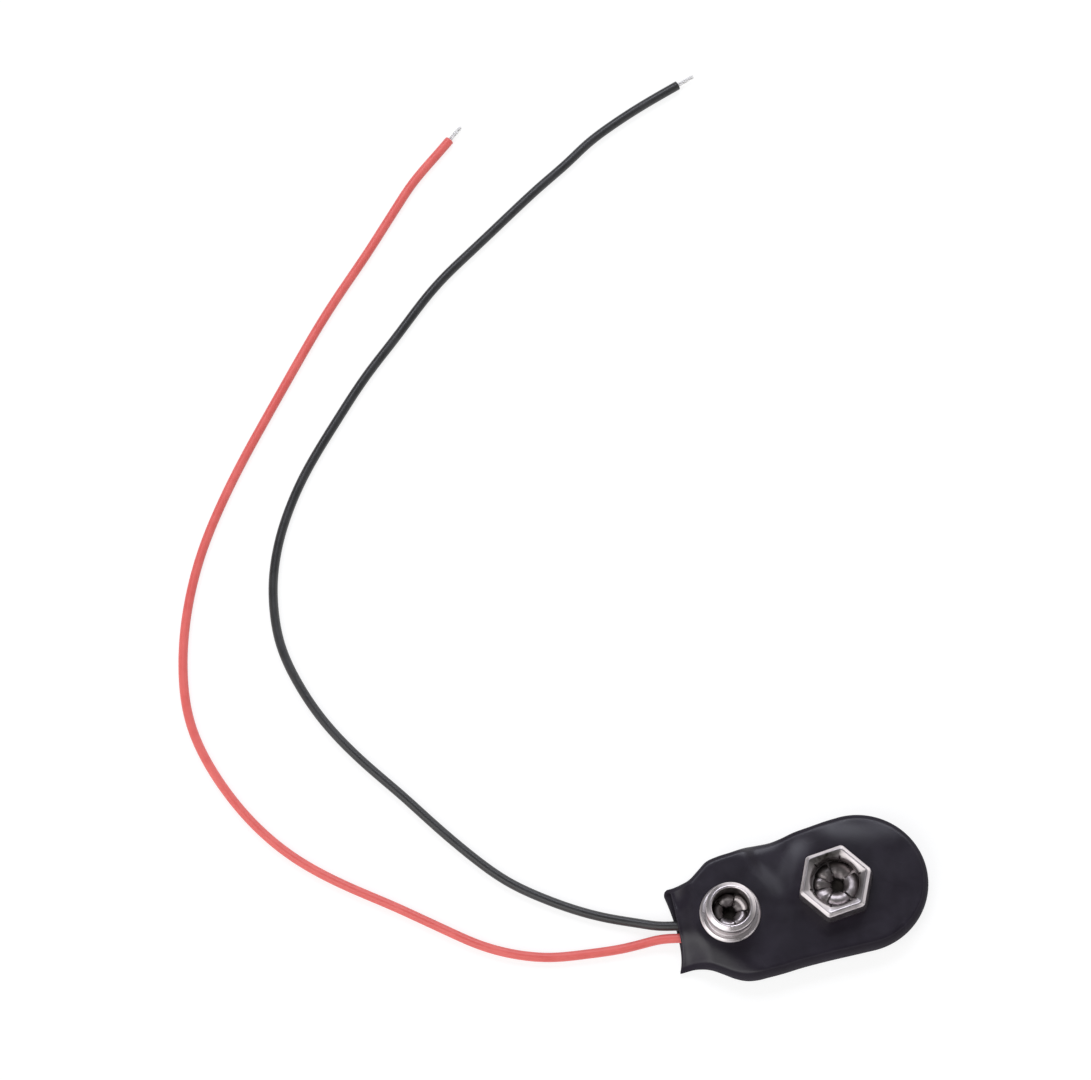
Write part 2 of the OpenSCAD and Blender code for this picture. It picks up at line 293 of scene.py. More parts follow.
class Graph:
    """Adds and joins the nodes of one shader tree."""

    def __init__(self, tree: bpy.types.NodeTree) -> None:
        """Starts with an empty tree."""
        tree.nodes.clear()
        self.tree = tree

    def add(self, kind: str, inputs: Inputs | None = None, **settings: object) -> bpy.types.Node:
        """Adds one node.

        Args:
            kind: Type of the node.
            inputs: Values or sockets for its inputs, by name or number.
            settings: Properties of the node itself.

        Returns:
            The new node.
        """
        node = self.tree.nodes.new(kind)
        for key, value in settings.items():
            setattr(node, key, value)
        for key, value in (inputs or {}).items():
            if isinstance(value, bpy.types.NodeSocket):
                self.tree.links.new(value, node.inputs[key])
            else:
                node.inputs[key].default_value = value
        return node

    def group(self, tree: bpy.types.NodeTree, inputs: Inputs) -> Outputs:
        """Outputs of a shared group that is placed with its own values."""
        return self.add("ShaderNodeGroup", inputs, node_tree=tree).outputs

    def blend(self, share: Feed, first: object, second: object) -> Feed:
        """Colour that lies at a share between two colours."""
        return self.add("ShaderNodeMix", {0: share, 6: first, 7: second}, data_type="RGBA").outputs[2]

    def spread(self, value: Feed, span: Span, low: object = 0.0, high: object = 1.0) -> Feed:
        """Value mapped from a span to the stretch from low to high, clamped."""
        inputs = dict(enumerate((value, *span, low, high)))
        return self.add("ShaderNodeMapRange", inputs).outputs[0]

    def between(self, share: Feed, low: object, high: object) -> Feed:
        """Value that lies at a share between low and high."""
        return self.spread(share, (0.0, 1.0), low, high)

    def maths(self, operation: str, *values: object) -> Feed:
        """Result of one operation on its values."""
        return self.add("ShaderNodeMath", dict(enumerate(values)), operation=operation).outputs[0]

    def vector(self, operation: str, *values: object) -> Outputs:
        """Outputs of one operation on vectors."""
        return self.add("ShaderNodeVectorMath", dict(enumerate(values)), operation=operation).outputs

    def mixed(self, share: Feed, first: bpy.types.Node, second: bpy.types.Node) -> bpy.types.Node:
        """Mix of the shaders of two nodes."""
        return self.add("ShaderNodeMixShader", {0: share, 1: first.outputs[0], 2: second.outputs[0]})

    def place(self) -> Feed:
        """Place on the surface, in the piece's own frame."""
        return self.add("ShaderNodeTexCoord").outputs["Object"]

    def noise(self, place: Feed, scale: object, detail: float, **more: float) -> Outputs:
        """Outputs of a noise texture: its value and its colour."""
        inputs = {"Vector": place, "Scale": scale, "Detail": detail, **more}
        return self.add("ShaderNodeTexNoise", inputs).outputs

    def mask(self, name: str) -> Feed:
        """Value that the mesh holds under a name."""
        return self.add("ShaderNodeAttribute", attribute_name=name).outputs["Fac"]


class Effects:
    """Shader groups that several finishes share, each built once."""

    colours: Sequence[str] = ("Color", "Dark", "Light", "Shade Film")
    cloud_span: Span = (0.34, 0.66)
    # Patchy cover of the painted shade.
    shade_film_scale: float = 1400.0
    shade_film_span: Span = (0.25, 0.7)
    shade_film_cover: Span = (0.78, 1.12)
    mark_bend: float = 0.004
    mark_span: Span = (0.0, 0.025)
    mark_gaps: Span = (0.52, 0.68)

    def __init__(self) -> None:
        """Builds every group."""
        self.mottle = self._mottle()
        self.grain = self._grain()
        self.lines = self._lines()
        self.painted_shade = self._painted_shade()
        self.scuffs = self._scuffs()

    def _open(self, name: str, inputs: Sequence[str], outputs: Sequence[str]) -> tuple[Graph, Outputs]:
        """Starts a group.

        Args:
            name: Name of the group.
            inputs: Names of its inputs.
            outputs: Names of its outputs.

        Returns:
            The group's graph and the sockets that give its inputs.
        """
        tree = bpy.data.node_groups.new(name, "ShaderNodeTree")
        for way, names in (("INPUT", inputs), ("OUTPUT", outputs)):
            for key in names:
                kind = "NodeSocketColor" if key in self.colours else "NodeSocketFloat"
                tree.interface.new_socket(key, in_out=way, socket_type=kind)
        graph = Graph(tree)
        return graph, graph.add("NodeGroupInput").outputs

    @staticmethod
    def _close(graph: Graph, outputs: Inputs) -> bpy.types.NodeTree:
        """Joins the outputs of a group and returns it."""
        graph.add("NodeGroupOutput", outputs)
        return graph.tree

    def _mottle(self) -> bpy.types.NodeTree:
        """Cloudy change of colour and gloss.

        Returns:
            The group.
        """
        names = ("Scale", "Dark", "Light", "Rough Low", "Rough High")
        graph, given = self._open("mottle", names, ("Color", "Roughness"))
        cloud = graph.noise(graph.place(), given["Scale"], detail=5.0, Roughness=0.6, Distortion=0.4)
        share = graph.spread(cloud[0], self.cloud_span)
        return self._close(graph, {
            "Color": graph.blend(share, given["Dark"], given["Light"]),
            "Roughness": graph.between(share, given["Rough Low"], given["Rough High"]),
        })

    def _grain(self) -> bpy.types.NodeTree:
        """Fine moulded or extruded skin.

        Returns:
            The group.
        """
        graph, given = self._open("grain", ("Scale", "Pits"), ("Height",))
        place = graph.place()
        fine = graph.noise(place, given["Scale"], detail=3.0)
        cells = graph.add("ShaderNodeTexVoronoi", {"Vector": place, "Scale": given["Scale"]})
        pits = graph.maths("MULTIPLY", cells.outputs["Distance"], given["Pits"])
        return self._close(graph, {"Height": graph.maths("ADD", fine[0], pits)})

    def _lines(self) -> bpy.types.NodeTree:
        """Fine lines that drawing and polishing leave on sheet metal.

        Returns:
            The group.
        """
        graph, given = self._open("drawn_lines", ("Scale", "Stretch"), ("Height",))
        scale = graph.add("ShaderNodeCombineXYZ", {0: 1.0, 1: 1.0, 2: given["Stretch"]})
        long = graph.vector("MULTIPLY", graph.place(), scale.outputs[0])
        return self._close(graph, {"Height": graph.noise(long[0], given["Scale"], detail=4.0)[0]})

    def _painted_shade(self) -> bpy.types.NodeTree:
        """Painted shade: a dark film laid on where the mesh's mask says shade falls, in hollows and on sides
        turned from the light.

        Returns:
            The group.
        """
        names = ("Color", "Shade Film", "Roughness", "Shade Film Roughness", "Amount")
        graph, given = self._open("painted_shade", names, ("Color", "Roughness"))
        cloud = graph.noise(graph.place(), self.shade_film_scale, detail=4.0)
        patchy = graph.spread(cloud[0], self.shade_film_span, *self.shade_film_cover)
        # Painted shade: the mesh's mask, broken up by patches, darkens the colour.
        hollow = graph.maths("MULTIPLY", graph.mask("recess"), patchy)
        share = graph.maths("MULTIPLY", hollow, given["Amount"])
        return self._close(graph, {
            "Color": graph.blend(share, given["Color"], given["Shade Film"]),
            "Roughness": graph.between(share, given["Roughness"], given["Shade Film Roughness"]),
        })

    def _scuffs(self) -> bpy.types.NodeTree:
        """Thin rubbed marks on a soft plastic skin.

        Returns:
            The group.
        """
        graph, given = self._open("scuffs", ("Scale", "Amount"), ("Mask",))
        place = graph.place()
        warp = graph.noise(place, given["Scale"], detail=2.0)
        bent = graph.vector("MULTIPLY_ADD", warp[1], (self.mark_bend,) * 3, place)
        inputs = {"Vector": bent[0], "Scale": given["Scale"]}
        cracks = graph.add("ShaderNodeTexVoronoi", inputs, feature="DISTANCE_TO_EDGE")
        thin = graph.spread(cracks.outputs["Distance"], self.mark_span, 1.0, 0.0)
        broken = graph.maths("MULTIPLY", thin, graph.spread(warp[0], self.mark_gaps))
        return self._close(graph, {"Mask": graph.maths("MULTIPLY", broken, given["Amount"])})


@dataclass(frozen=True, kw_only=True)
class Finish:
    """Start of every finish: its slot in the record, a cloudy colour and gloss, and a fine relief."""

    slot: str
    dark: Colour
    light: Colour
    rough: Span
    cloud_scale: float
    relief_scale: float
    relief_depth: float

    @property
    def title(self) -> str:
        """Name of the finish's material."""
        return f"{self.slot}_finish"

    def relief(self, graph: Graph, effects: Effects) -> Feed:
        """Height of the fine relief; each kind of finish has its own."""
        raise NotImplementedError

    def surface(self, graph: Graph, effects: Effects, cloud: Outputs) -> Inputs:
        """What the shader takes for colour and gloss: plain clouds, unless a kind of finish has its own."""
        return {"Base Color": cloud["Color"], "Roughness": cloud["Roughness"]}

    def material(self, effects: Effects) -> bpy.types.Material:
        """Builds the finish.

        Args:
            effects: Shared shader groups.

        Returns:
            The new material.
        """
        made = bpy.data.materials.new(self.title)
        made.use_nodes = True
        graph = Graph(made.node_tree)
        cloud = graph.group(effects.mottle, {
            "Scale": self.cloud_scale, "Dark": rgba(self.dark), "Light": rgba(self.light),
            "Rough Low": self.rough[0], "Rough High": self.rough[1],
        })
        height = self.relief(graph, effects)
        depth = self.relief_depth * MM
        bump = graph.add("ShaderNodeBump", {"Strength": 1.0, "Distance": depth, "Height": height})
        inputs = self.surface(graph, effects, cloud) | {"Normal": bump.outputs[0]}
        shader = graph.add("ShaderNodeBsdfPrincipled", inputs)
        graph.add("ShaderNodeOutputMaterial", {"Surface": shader.outputs[0]})
        return made

    def put_on(self, piece: bpy.types.Object, effects: Effects) -> None:
        """Gives a piece this finish, made once per slot.

        Args:
            piece: The piece.
            effects: Shared shader groups.
        """
        made = bpy.data.materials.get(self.title) or self.material(effects)
        piece.data.materials.clear()
        piece.data.materials.append(made)


@dataclass(frozen=True, kw_only=True)
class SoftPlastic(Finish):
    """Soft plastic with a fine grain, rubbed marks and dull edges."""

    mark: Colour
    mark_amount: float = 0.3
    mark_scale: float = 0.8
    pits: float = 0.4
    edge_rough: float = 0.9

    def relief(self, graph: Graph, effects: Effects) -> Feed:
        """Height of the grain."""
        return graph.group(effects.grain, {"Scale": self.relief_scale, "Pits": self.pits})["Height"]

    def surface(self, graph: Graph, effects: Effects, cloud: Outputs) -> Inputs:
        """Colour with the marks, and gloss that the edges lose.

        Args:
            graph: The material's graph.
            effects: Shared shader groups.
            cloud: Outputs of the clouds.

        Returns:
            The shader's inputs.
        """
        scale = self.cloud_scale * self.mark_scale
        marks = graph.group(effects.scuffs, {"Scale": scale, "Amount": self.mark_amount})
        return {
            "Base Color": graph.blend(marks["Mask"], cloud["Color"], rgba(self.mark)),
            "Roughness": graph.between(graph.mask("edge"), cloud["Roughness"], self.edge_rough),
        }


@dataclass(frozen=True, kw_only=True)
class Lined(Finish):
    """Finish with fine lines, or with even specks where nothing stretches them."""

    stretch: float = 1.0

    def relief(self, graph: Graph, effects: Effects) -> Feed:
        """Height of the lines."""
        return graph.group(effects.lines, {"Scale": self.relief_scale, "Stretch": self.stretch})["Height"]


@dataclass(frozen=True, kw_only=True)
class Plating(Lined):
    """Plated or tinned metal, darkened by a film of painted shade where its mask puts shade."""

    shade_film: Colour
    shade_film_amount: float
    shade_film_rough: float = 0.45
    cloud_scale: float = 700.0

    def surface(self, graph: Graph, effects: Effects, cloud: Outputs) -> Inputs:
        """Colour and gloss of metal under the painted shade.

        Args:
            graph: The material's graph.
            effects: Shared shader groups.
            cloud: Outputs of the clouds.

        Returns:
            The shader's inputs.
        """
        shade_film = graph.group(effects.painted_shade, {
            "Color": cloud["Color"], "Shade Film": rgba(self.shade_film), "Roughness": cloud["Roughness"],
            "Shade Film Roughness": self.shade_film_rough, "Amount": self.shade_film_amount,
        })
        return {"Base Color": shade_film["Color"], "Roughness": shade_film["Roughness"], "Metallic": 1.0}


VINYL = SoftPlastic(
    slot="black_vinyl", dark=(0.0088, 0.0055, 0.0125), light=(0.0132, 0.0088, 0.0188),
    mark=(0.03, 0.026, 0.038), rough=(0.31, 0.39), cloud_scale=330.0, relief_scale=7000.0,
    relief_depth=0.003,
)
BLACK_PVC = SoftPlastic(
    slot="black_pvc", dark=(0.029, 0.029, 0.03), light=(0.043, 0.043, 0.045), mark=(0.06, 0.06, 0.063),
    rough=(0.3, 0.42), cloud_scale=420.0, relief_scale=9000.0, relief_depth=0.004,
)
RED_PVC = SoftPlastic(
    slot="red_pvc", dark=(0.86, 0.142, 0.127), light=(0.94, 0.185, 0.165), mark=(0.94, 0.26, 0.23),
    rough=(0.32, 0.46), cloud_scale=420.0, relief_scale=9000.0, relief_depth=0.004,
)
# The film colours of these platings are painted shade, laid on where each piece's mask puts shade.
NICKEL = Plating(
    slot="nickel_plate", dark=(0.66, 0.61, 0.62), light=(0.78, 0.725, 0.74), shade_film=(0.022, 0.020, 0.012),
    shade_film_amount=0.9, rough=(0.26, 0.34), relief_scale=5000.0, relief_depth=0.0012, stretch=0.06,
)
RIVET = Plating(
    slot="rivet_plate", dark=(0.5, 0.455, 0.455), light=(0.64, 0.585, 0.585), shade_film=(0.026, 0.019, 0.018),
    shade_film_amount=0.92, rough=(0.32, 0.42), relief_scale=5000.0, relief_depth=0.002, stretch=0.06,
)
# Nearly black solder: its dark colour is painted shade for the deep rivet holes it shows through.
SOLDER = Plating(
    slot="solder", dark=(0.05, 0.045, 0.04), light=(0.14, 0.13, 0.12), shade_film=(0.2, 0.2, 0.2),
    shade_film_amount=0.3, rough=(0.25, 0.4), relief_scale=1800.0, relief_depth=0.03,
)
TINNED = Plating(
    slot="tinned_wire", dark=(0.86, 0.85, 0.84), light=(0.95, 0.94, 0.93), shade_film=(0.3, 0.28, 0.25),
    shade_film_amount=0.5, rough=(0.5, 0.62), relief_scale=8000.0, relief_depth=0.001,
)
FIBRE = Lined(
    slot="fibre_board", dark=(0.10, 0.045, 0.02), light=(0.17, 0.085, 0.04), rough=(0.7, 0.9),
    cloud_scale=900.0, relief_scale=3000.0, relief_depth=0.012,
)


# Studio

@dataclass(kw_only=True)
class Aimed:
    """Start of the camera and the lights: where one hangs and what it is aimed at."""

    name: str
    azimuth: float
    elevation: float
    distance: float
    target: Place

    def hang(self, data: bpy.types.Camera | bpy.types.Light) -> bpy.types.Object:
        """Hangs a camera or a light in its place.

        Args:
            data: The camera or the light.

        Returns:
            Its object.
        """
        turn = math.radians(self.azimuth)
        rise = math.radians(self.elevation)
        away = Vector((math.cos(turn) * math.cos(rise), math.sin(turn) * math.cos(rise), math.sin(rise)))
        thing = bpy.data.objects.new(self.name, data)
        thing.location = (Vector(self.target) + away * self.distance) * MM
        thing.rotation_euler = away.to_track_quat("Z", "Y").to_euler()
        bpy.context.scene.collection.objects.link(thing)
        return thing


@dataclass(kw_only=True)
class Camera(Aimed):
    """Long lens over the part, as in the photo."""

    name: str = "camera"
    azimuth: float = -104.45
    elevation: float = 73.10
    distance: float = 700.0
    target: Place = (-17.3, 49.9, 0.0)
    lens: float = 195.0
    sensor: float = 36.0
    near: float = 10.0
    far: float = 50000.0

    def build(self) -> None:
        """Makes the camera and takes it for the scene."""
        data = bpy.data.cameras.new(self.name)
        data.lens = self.lens
        data.sensor_width = self.sensor
        data.clip_start = self.near * MM
        data.clip_end = self.far * MM
        bpy.context.scene.camera = self.hang(data)
        bpy.context.scene.view_settings.view_transform = "Standard"


@dataclass(kw_only=True)
class Softbox(Aimed):
    """One soft light, whose power follows from its size and its brightness."""

    distance: float = 900.0
    target: Place = (-10.0, 20.0, 0.0)
    width: float
    height: float
    radiance: float
    watts: float = 4.0
    tint: Colour = (1.0, 1.0, 1.0)

    def build(self) -> None:
        """Makes the light, unseen by the camera."""
        data = bpy.data.lights.new(self.name, "AREA")
        data.shape = "RECTANGLE"
        data.size = self.width * MM
        data.size_y = self.height * MM
        data.energy = self.watts * self.radiance * data.size * data.size_y
        data.color = self.tint
        self.hang(data).visible_camera = False


@dataclass
class Studio:
    """Pale floor, white backdrop and soft light."""

    floor_width: float = 6000.0
    floor_drop: float = 0.02
    floor_white: float = 0.8
    shown_white: float = 0.3
    glow: float = 0.8
    zenith: float = 0.15
    rise_span: Span = (0.1, 0.8)
    dim_side: float = 0.16
    bright_side: float = 1.6
    side_span: Span = (0.1, 0.8)
    bright_azimuth: float = 35.0
    boxes: list[Softbox] = field(default_factory=lambda: [
        Softbox(name="key_light", azimuth=215, elevation=48, width=800, height=600, radiance=1.55),
        Softbox(
            name="back_light", azimuth=82, elevation=50, width=720, height=340, radiance=3.6,
            tint=(0.88, 0.9, 1.0),
        ),
        Softbox(name="fill_light", azimuth=305, elevation=16, width=500, height=200, radiance=1.3),
    ])

    def build(self) -> None:
        """Makes the floor, the world and the lights."""
        self._floor()
        self._world()
        for box in self.boxes:
            box.build()

    @staticmethod
    def _seen(graph: Graph) -> Feed:
        """Mask of the rays that show the backdrop: from the camera, off gloss or through glass.

        Args:
            graph: The floor's graph.

        Returns:
            The mask's socket.
        """
        path = graph.add("ShaderNodeLightPath").outputs
        glossy = graph.maths("MAXIMUM", path["Is Camera Ray"], path["Is Glossy Ray"])
        return graph.maths("MAXIMUM", glossy, path["Is Transmission Ray"])

    def _floor(self) -> None:
        """Pale floor that keeps the part's shadow and is open from below."""
        half = self.floor_width / 2
        signs = ((-1, -1), (1, -1), (1, 1), (-1, 1))
        corners = [(x * half * MM, y * half * MM, -self.floor_drop * MM) for x, y in signs]
        mesh = bpy.data.meshes.new("floor")
        mesh.from_pydata(corners, [], [(0, 1, 2, 3)])
        floor = bpy.data.objects.new("floor", mesh)
        bpy.context.scene.collection.objects.link(floor)
        material = bpy.data.materials.new("floor")
        material.use_nodes = True
        graph = Graph(material.node_tree)
        plain = graph.add("ShaderNodeBsdfDiffuse", {"Color": rgba((self.floor_white,) * 3)})
        shade = graph.add("ShaderNodeBsdfDiffuse", {"Color": rgba((self.shown_white,) * 3)})
        glow = graph.add("ShaderNodeEmission", {"Strength": self.glow})
        shown = graph.add("ShaderNodeAddShader", {0: shade.outputs[0], 1: glow.outputs[0]})
        both = graph.mixed(self._seen(graph), plain, shown)
        below = graph.add("ShaderNodeNewGeometry").outputs["Backfacing"]
        cut = graph.mixed(below, both, graph.add("ShaderNodeBsdfTransparent"))
        graph.add("ShaderNodeOutputMaterial", {"Surface": cut.outputs[0]})
        mesh.materials.append(material)

    def _world(self) -> None:
        """Soft room light, brighter at the horizon, and white for the camera."""
        world = bpy.data.worlds.new("room")
        world.use_nodes = True
        bpy.context.scene.world = world
        graph = Graph(world.node_tree)
        way = graph.add("ShaderNodeTexCoord").outputs["Generated"]
        rise = graph.add("ShaderNodeSeparateXYZ", {0: way}).outputs[2]
        turn = math.radians(self.bright_azimuth)
        facing = graph.vector("DOT_PRODUCT", way, (math.cos(turn), math.sin(turn), 0.0))["Value"]
        squared = graph.maths("MULTIPLY", facing, facing)
        side = graph.spread(squared, self.side_span, self.dim_side, self.bright_side)
        level = graph.spread(rise, self.rise_span, side, self.zenith)
        room = graph.add("ShaderNodeBackground", {"Color": WHITE, "Strength": level})
        white = graph.add("ShaderNodeBackground", {"Color": WHITE, "Strength": 1.0})
        both = graph.mixed(graph.add("ShaderNodeLightPath").outputs["Is Camera Ray"], room, white)
        graph.add("ShaderNodeOutputWorld", {"Surface": both.outputs[0]})


# Leads

@dataclass
class Lead:
    """One insulated lead with stranded bare ends, laid out as in the photo.

    A point of the route has its place on the floor and, where the lead lies higher, its share of the rise
    into the pocket.
    """

    polarity: Polarity
    finish: Finish
    length: float
    route: Sequence[tuple[float, ...]]
    exit: Place
    diameter: float = 1.1
    cut_round: float = 0.05
    sides: int = 22
    samples: int = 8
    floor_z: float = 0.56
    pocket_z: float = 1.2
    tip_len: float = 2.2
    inner_len: float = 2.68
    inner_way: Place = (1.0, 0.0, 0.0)
    ring_strands: int = 6
    ring_r: float = 0.165
    strand_d: float = 0.17
    strand_sides: int = 10
    strand_rows: int = 24
    strand_hidden: float = 0.4
    strand_taper: Span = (0.9, 0.45)
    twist: float = 130.0

    def centreline(self) -> np.ndarray:
        """Smooth line along the route.

        Returns:
            One row per point.
        """
        points = np.array([
            (x, y, mix(self.floor_z, self.pocket_z, lift[0] if lift else 0.0)) for x, y, *lift in self.route
        ])
        padded = np.vstack((2 * points[0] - points[1], points, 2 * points[-1] - points[-2]))
        t = np.linspace(0, 1, self.samples, endpoint=False)[:, None]
        before = 4 - 6 * t**2 + 3 * t**3
        after = 1 + 3 * t + 3 * t**2 - 3 * t**3
        spans = [
            (a * (1 - t) ** 3 + b * before + c * after + d * t**3) / 6
            for a, b, c, d in zip(padded, padded[1:], padded[2:], padded[3:])
        ]
        return np.vstack((*spans, points[-1:]))

    @staticmethod
    def tube(line: np.ndarray, radii: np.ndarray, sides: int, start: int = 0) -> tuple[np.ndarray, Faces]:
        """Tube of changing radius along a line that starts level, closed at both ends.

        Args:
            line: Centreline points.
            radii: Radius at each point.
            sides: Points round the tube.
            start: Number of the first point, for a mesh of several tubes.

        Returns:
            The points and the faces.
        """
        along = tangents(line)
        side = np.empty_like(line)
        side[0] = np.cross(along[0], UP)
        for i in range(1, len(line)):
            side[i] = side[i - 1] - along[i] * np.dot(side[i - 1], along[i])
        side /= np.linalg.norm(side, axis=1, keepdims=True)
        rise = np.cross(along, side)
        angle = np.linspace(0, 2 * np.pi, sides, endpoint=False)
        ring = np.cos(angle)[None, :, None] * side[:, None] + np.sin(angle)[None, :, None] * rise[:, None]
        points = (line[:, None] + radii[:, None, None] * ring).reshape(-1, 3)
        faces = grid_faces(len(line), sides, wrap_columns=True)
        faces += [tuple(range(sides))[::-1], tuple(range(len(points) - sides, len(points)))]
        return points, [tuple(i + start for i in face) for face in faces]

    def insulation(self, line: np.ndarray) -> bpy.types.Object:
        """Insulation tube with slightly rounded, cut ends.

        Args:
            line: Centreline points.

        Returns:
            The tube.
        """
        out = tangents(line) * self.cut_round
        body = np.vstack((line[:1] - out[:1], line, line[-1:] + out[-1:]))
        radii = np.full(len(body), self.diameter / 2)
        radii[[0, -1]] -= self.cut_round
        return new_piece(f"{self.polarity.value}_insulation", *self.tube(body, radii, self.sides))

    def strands(self, end: str, start: np.ndarray, way: np.ndarray, length: float) -> bpy.types.Object:
        """Twisted bundle of fine wires, a ring of them about one in the middle.

        Args:
            end: Which end of the lead it is.
            start: Where the insulation ends.
            way: Unit direction of the bundle.
            length: Bare length.

        Returns:
            The bundle.
        """
        across = np.cross(UP, way)
        up = np.cross(way, across)
        steps = np.linspace(-self.strand_hidden, length, self.strand_rows)
        radii = np.full(len(steps), self.strand_d / 2)
        radii[-2:] *= self.strand_taper
        points: list[np.ndarray] = []
        faces: Faces = []
        for number in range(self.ring_strands + 1):
            turn = np.radians(number * 360 / self.ring_strands + self.twist * steps / length)[:, None]
            reach = self.ring_r if number < self.ring_strands else 0.0
            line = start + steps[:, None] * way + reach * (np.cos(turn) * across + np.sin(turn) * up)
            first = number * len(steps) * self.strand_sides
            wire, wire_faces = self.tube(line, radii, self.strand_sides, first)
            points.append(wire)
            faces += wire_faces
        return new_piece(f"{self.polarity.value}_{end}_strands", np.vstack(points), faces)

    def build(self) -> list[bpy.types.Object]:
        """Makes the lead's meshes.

        Returns:
            The insulation, the bare tip and the bare inner end.
        """
        line = self.centreline()
        return [
            self.insulation(line),
            self.strands("tip", line[-1], tangents(line)[-1], self.tip_len),
            self.strands("inner", line[0], np.array(self.inner_way), self.inner_len),
        ]

    def dress(self, pieces: list[bpy.types.Object], effects: Effects) -> None:
        """Args:
            pieces: The insulation, the bare tip and the bare inner end.
            effects: Shared shader groups.
        """
        skin, tip, inner = pieces
        colour = self.polarity.value
        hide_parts(f"{colour}_lead")
        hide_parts(f"{colour}_conductor")
        for piece, finish in ((skin, self.finish), (tip, TINNED), (inner, TINNED)):
            finish.put_on(piece, effects)


@dataclass(kw_only=True)
class Part:
    """Start of the pocket, the snaps and the rivets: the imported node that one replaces, and its finish."""

    node: str
    finish: Finish

    def build(self) -> list[bpy.types.Object]:
        """Makes the meshes; each kind of part has its own."""
        raise NotImplementedError

    def dress(self, pieces: list[bpy.types.Object], effects: Effects) -> None:
        """Puts the meshes in the node's place and gives them their finish.

        Args:
            pieces: What build made.
            effects: Shared shader groups.
        """
        for piece in pieces:
            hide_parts(self.node)
            self.finish.put_on(piece, effects)


# Pocket

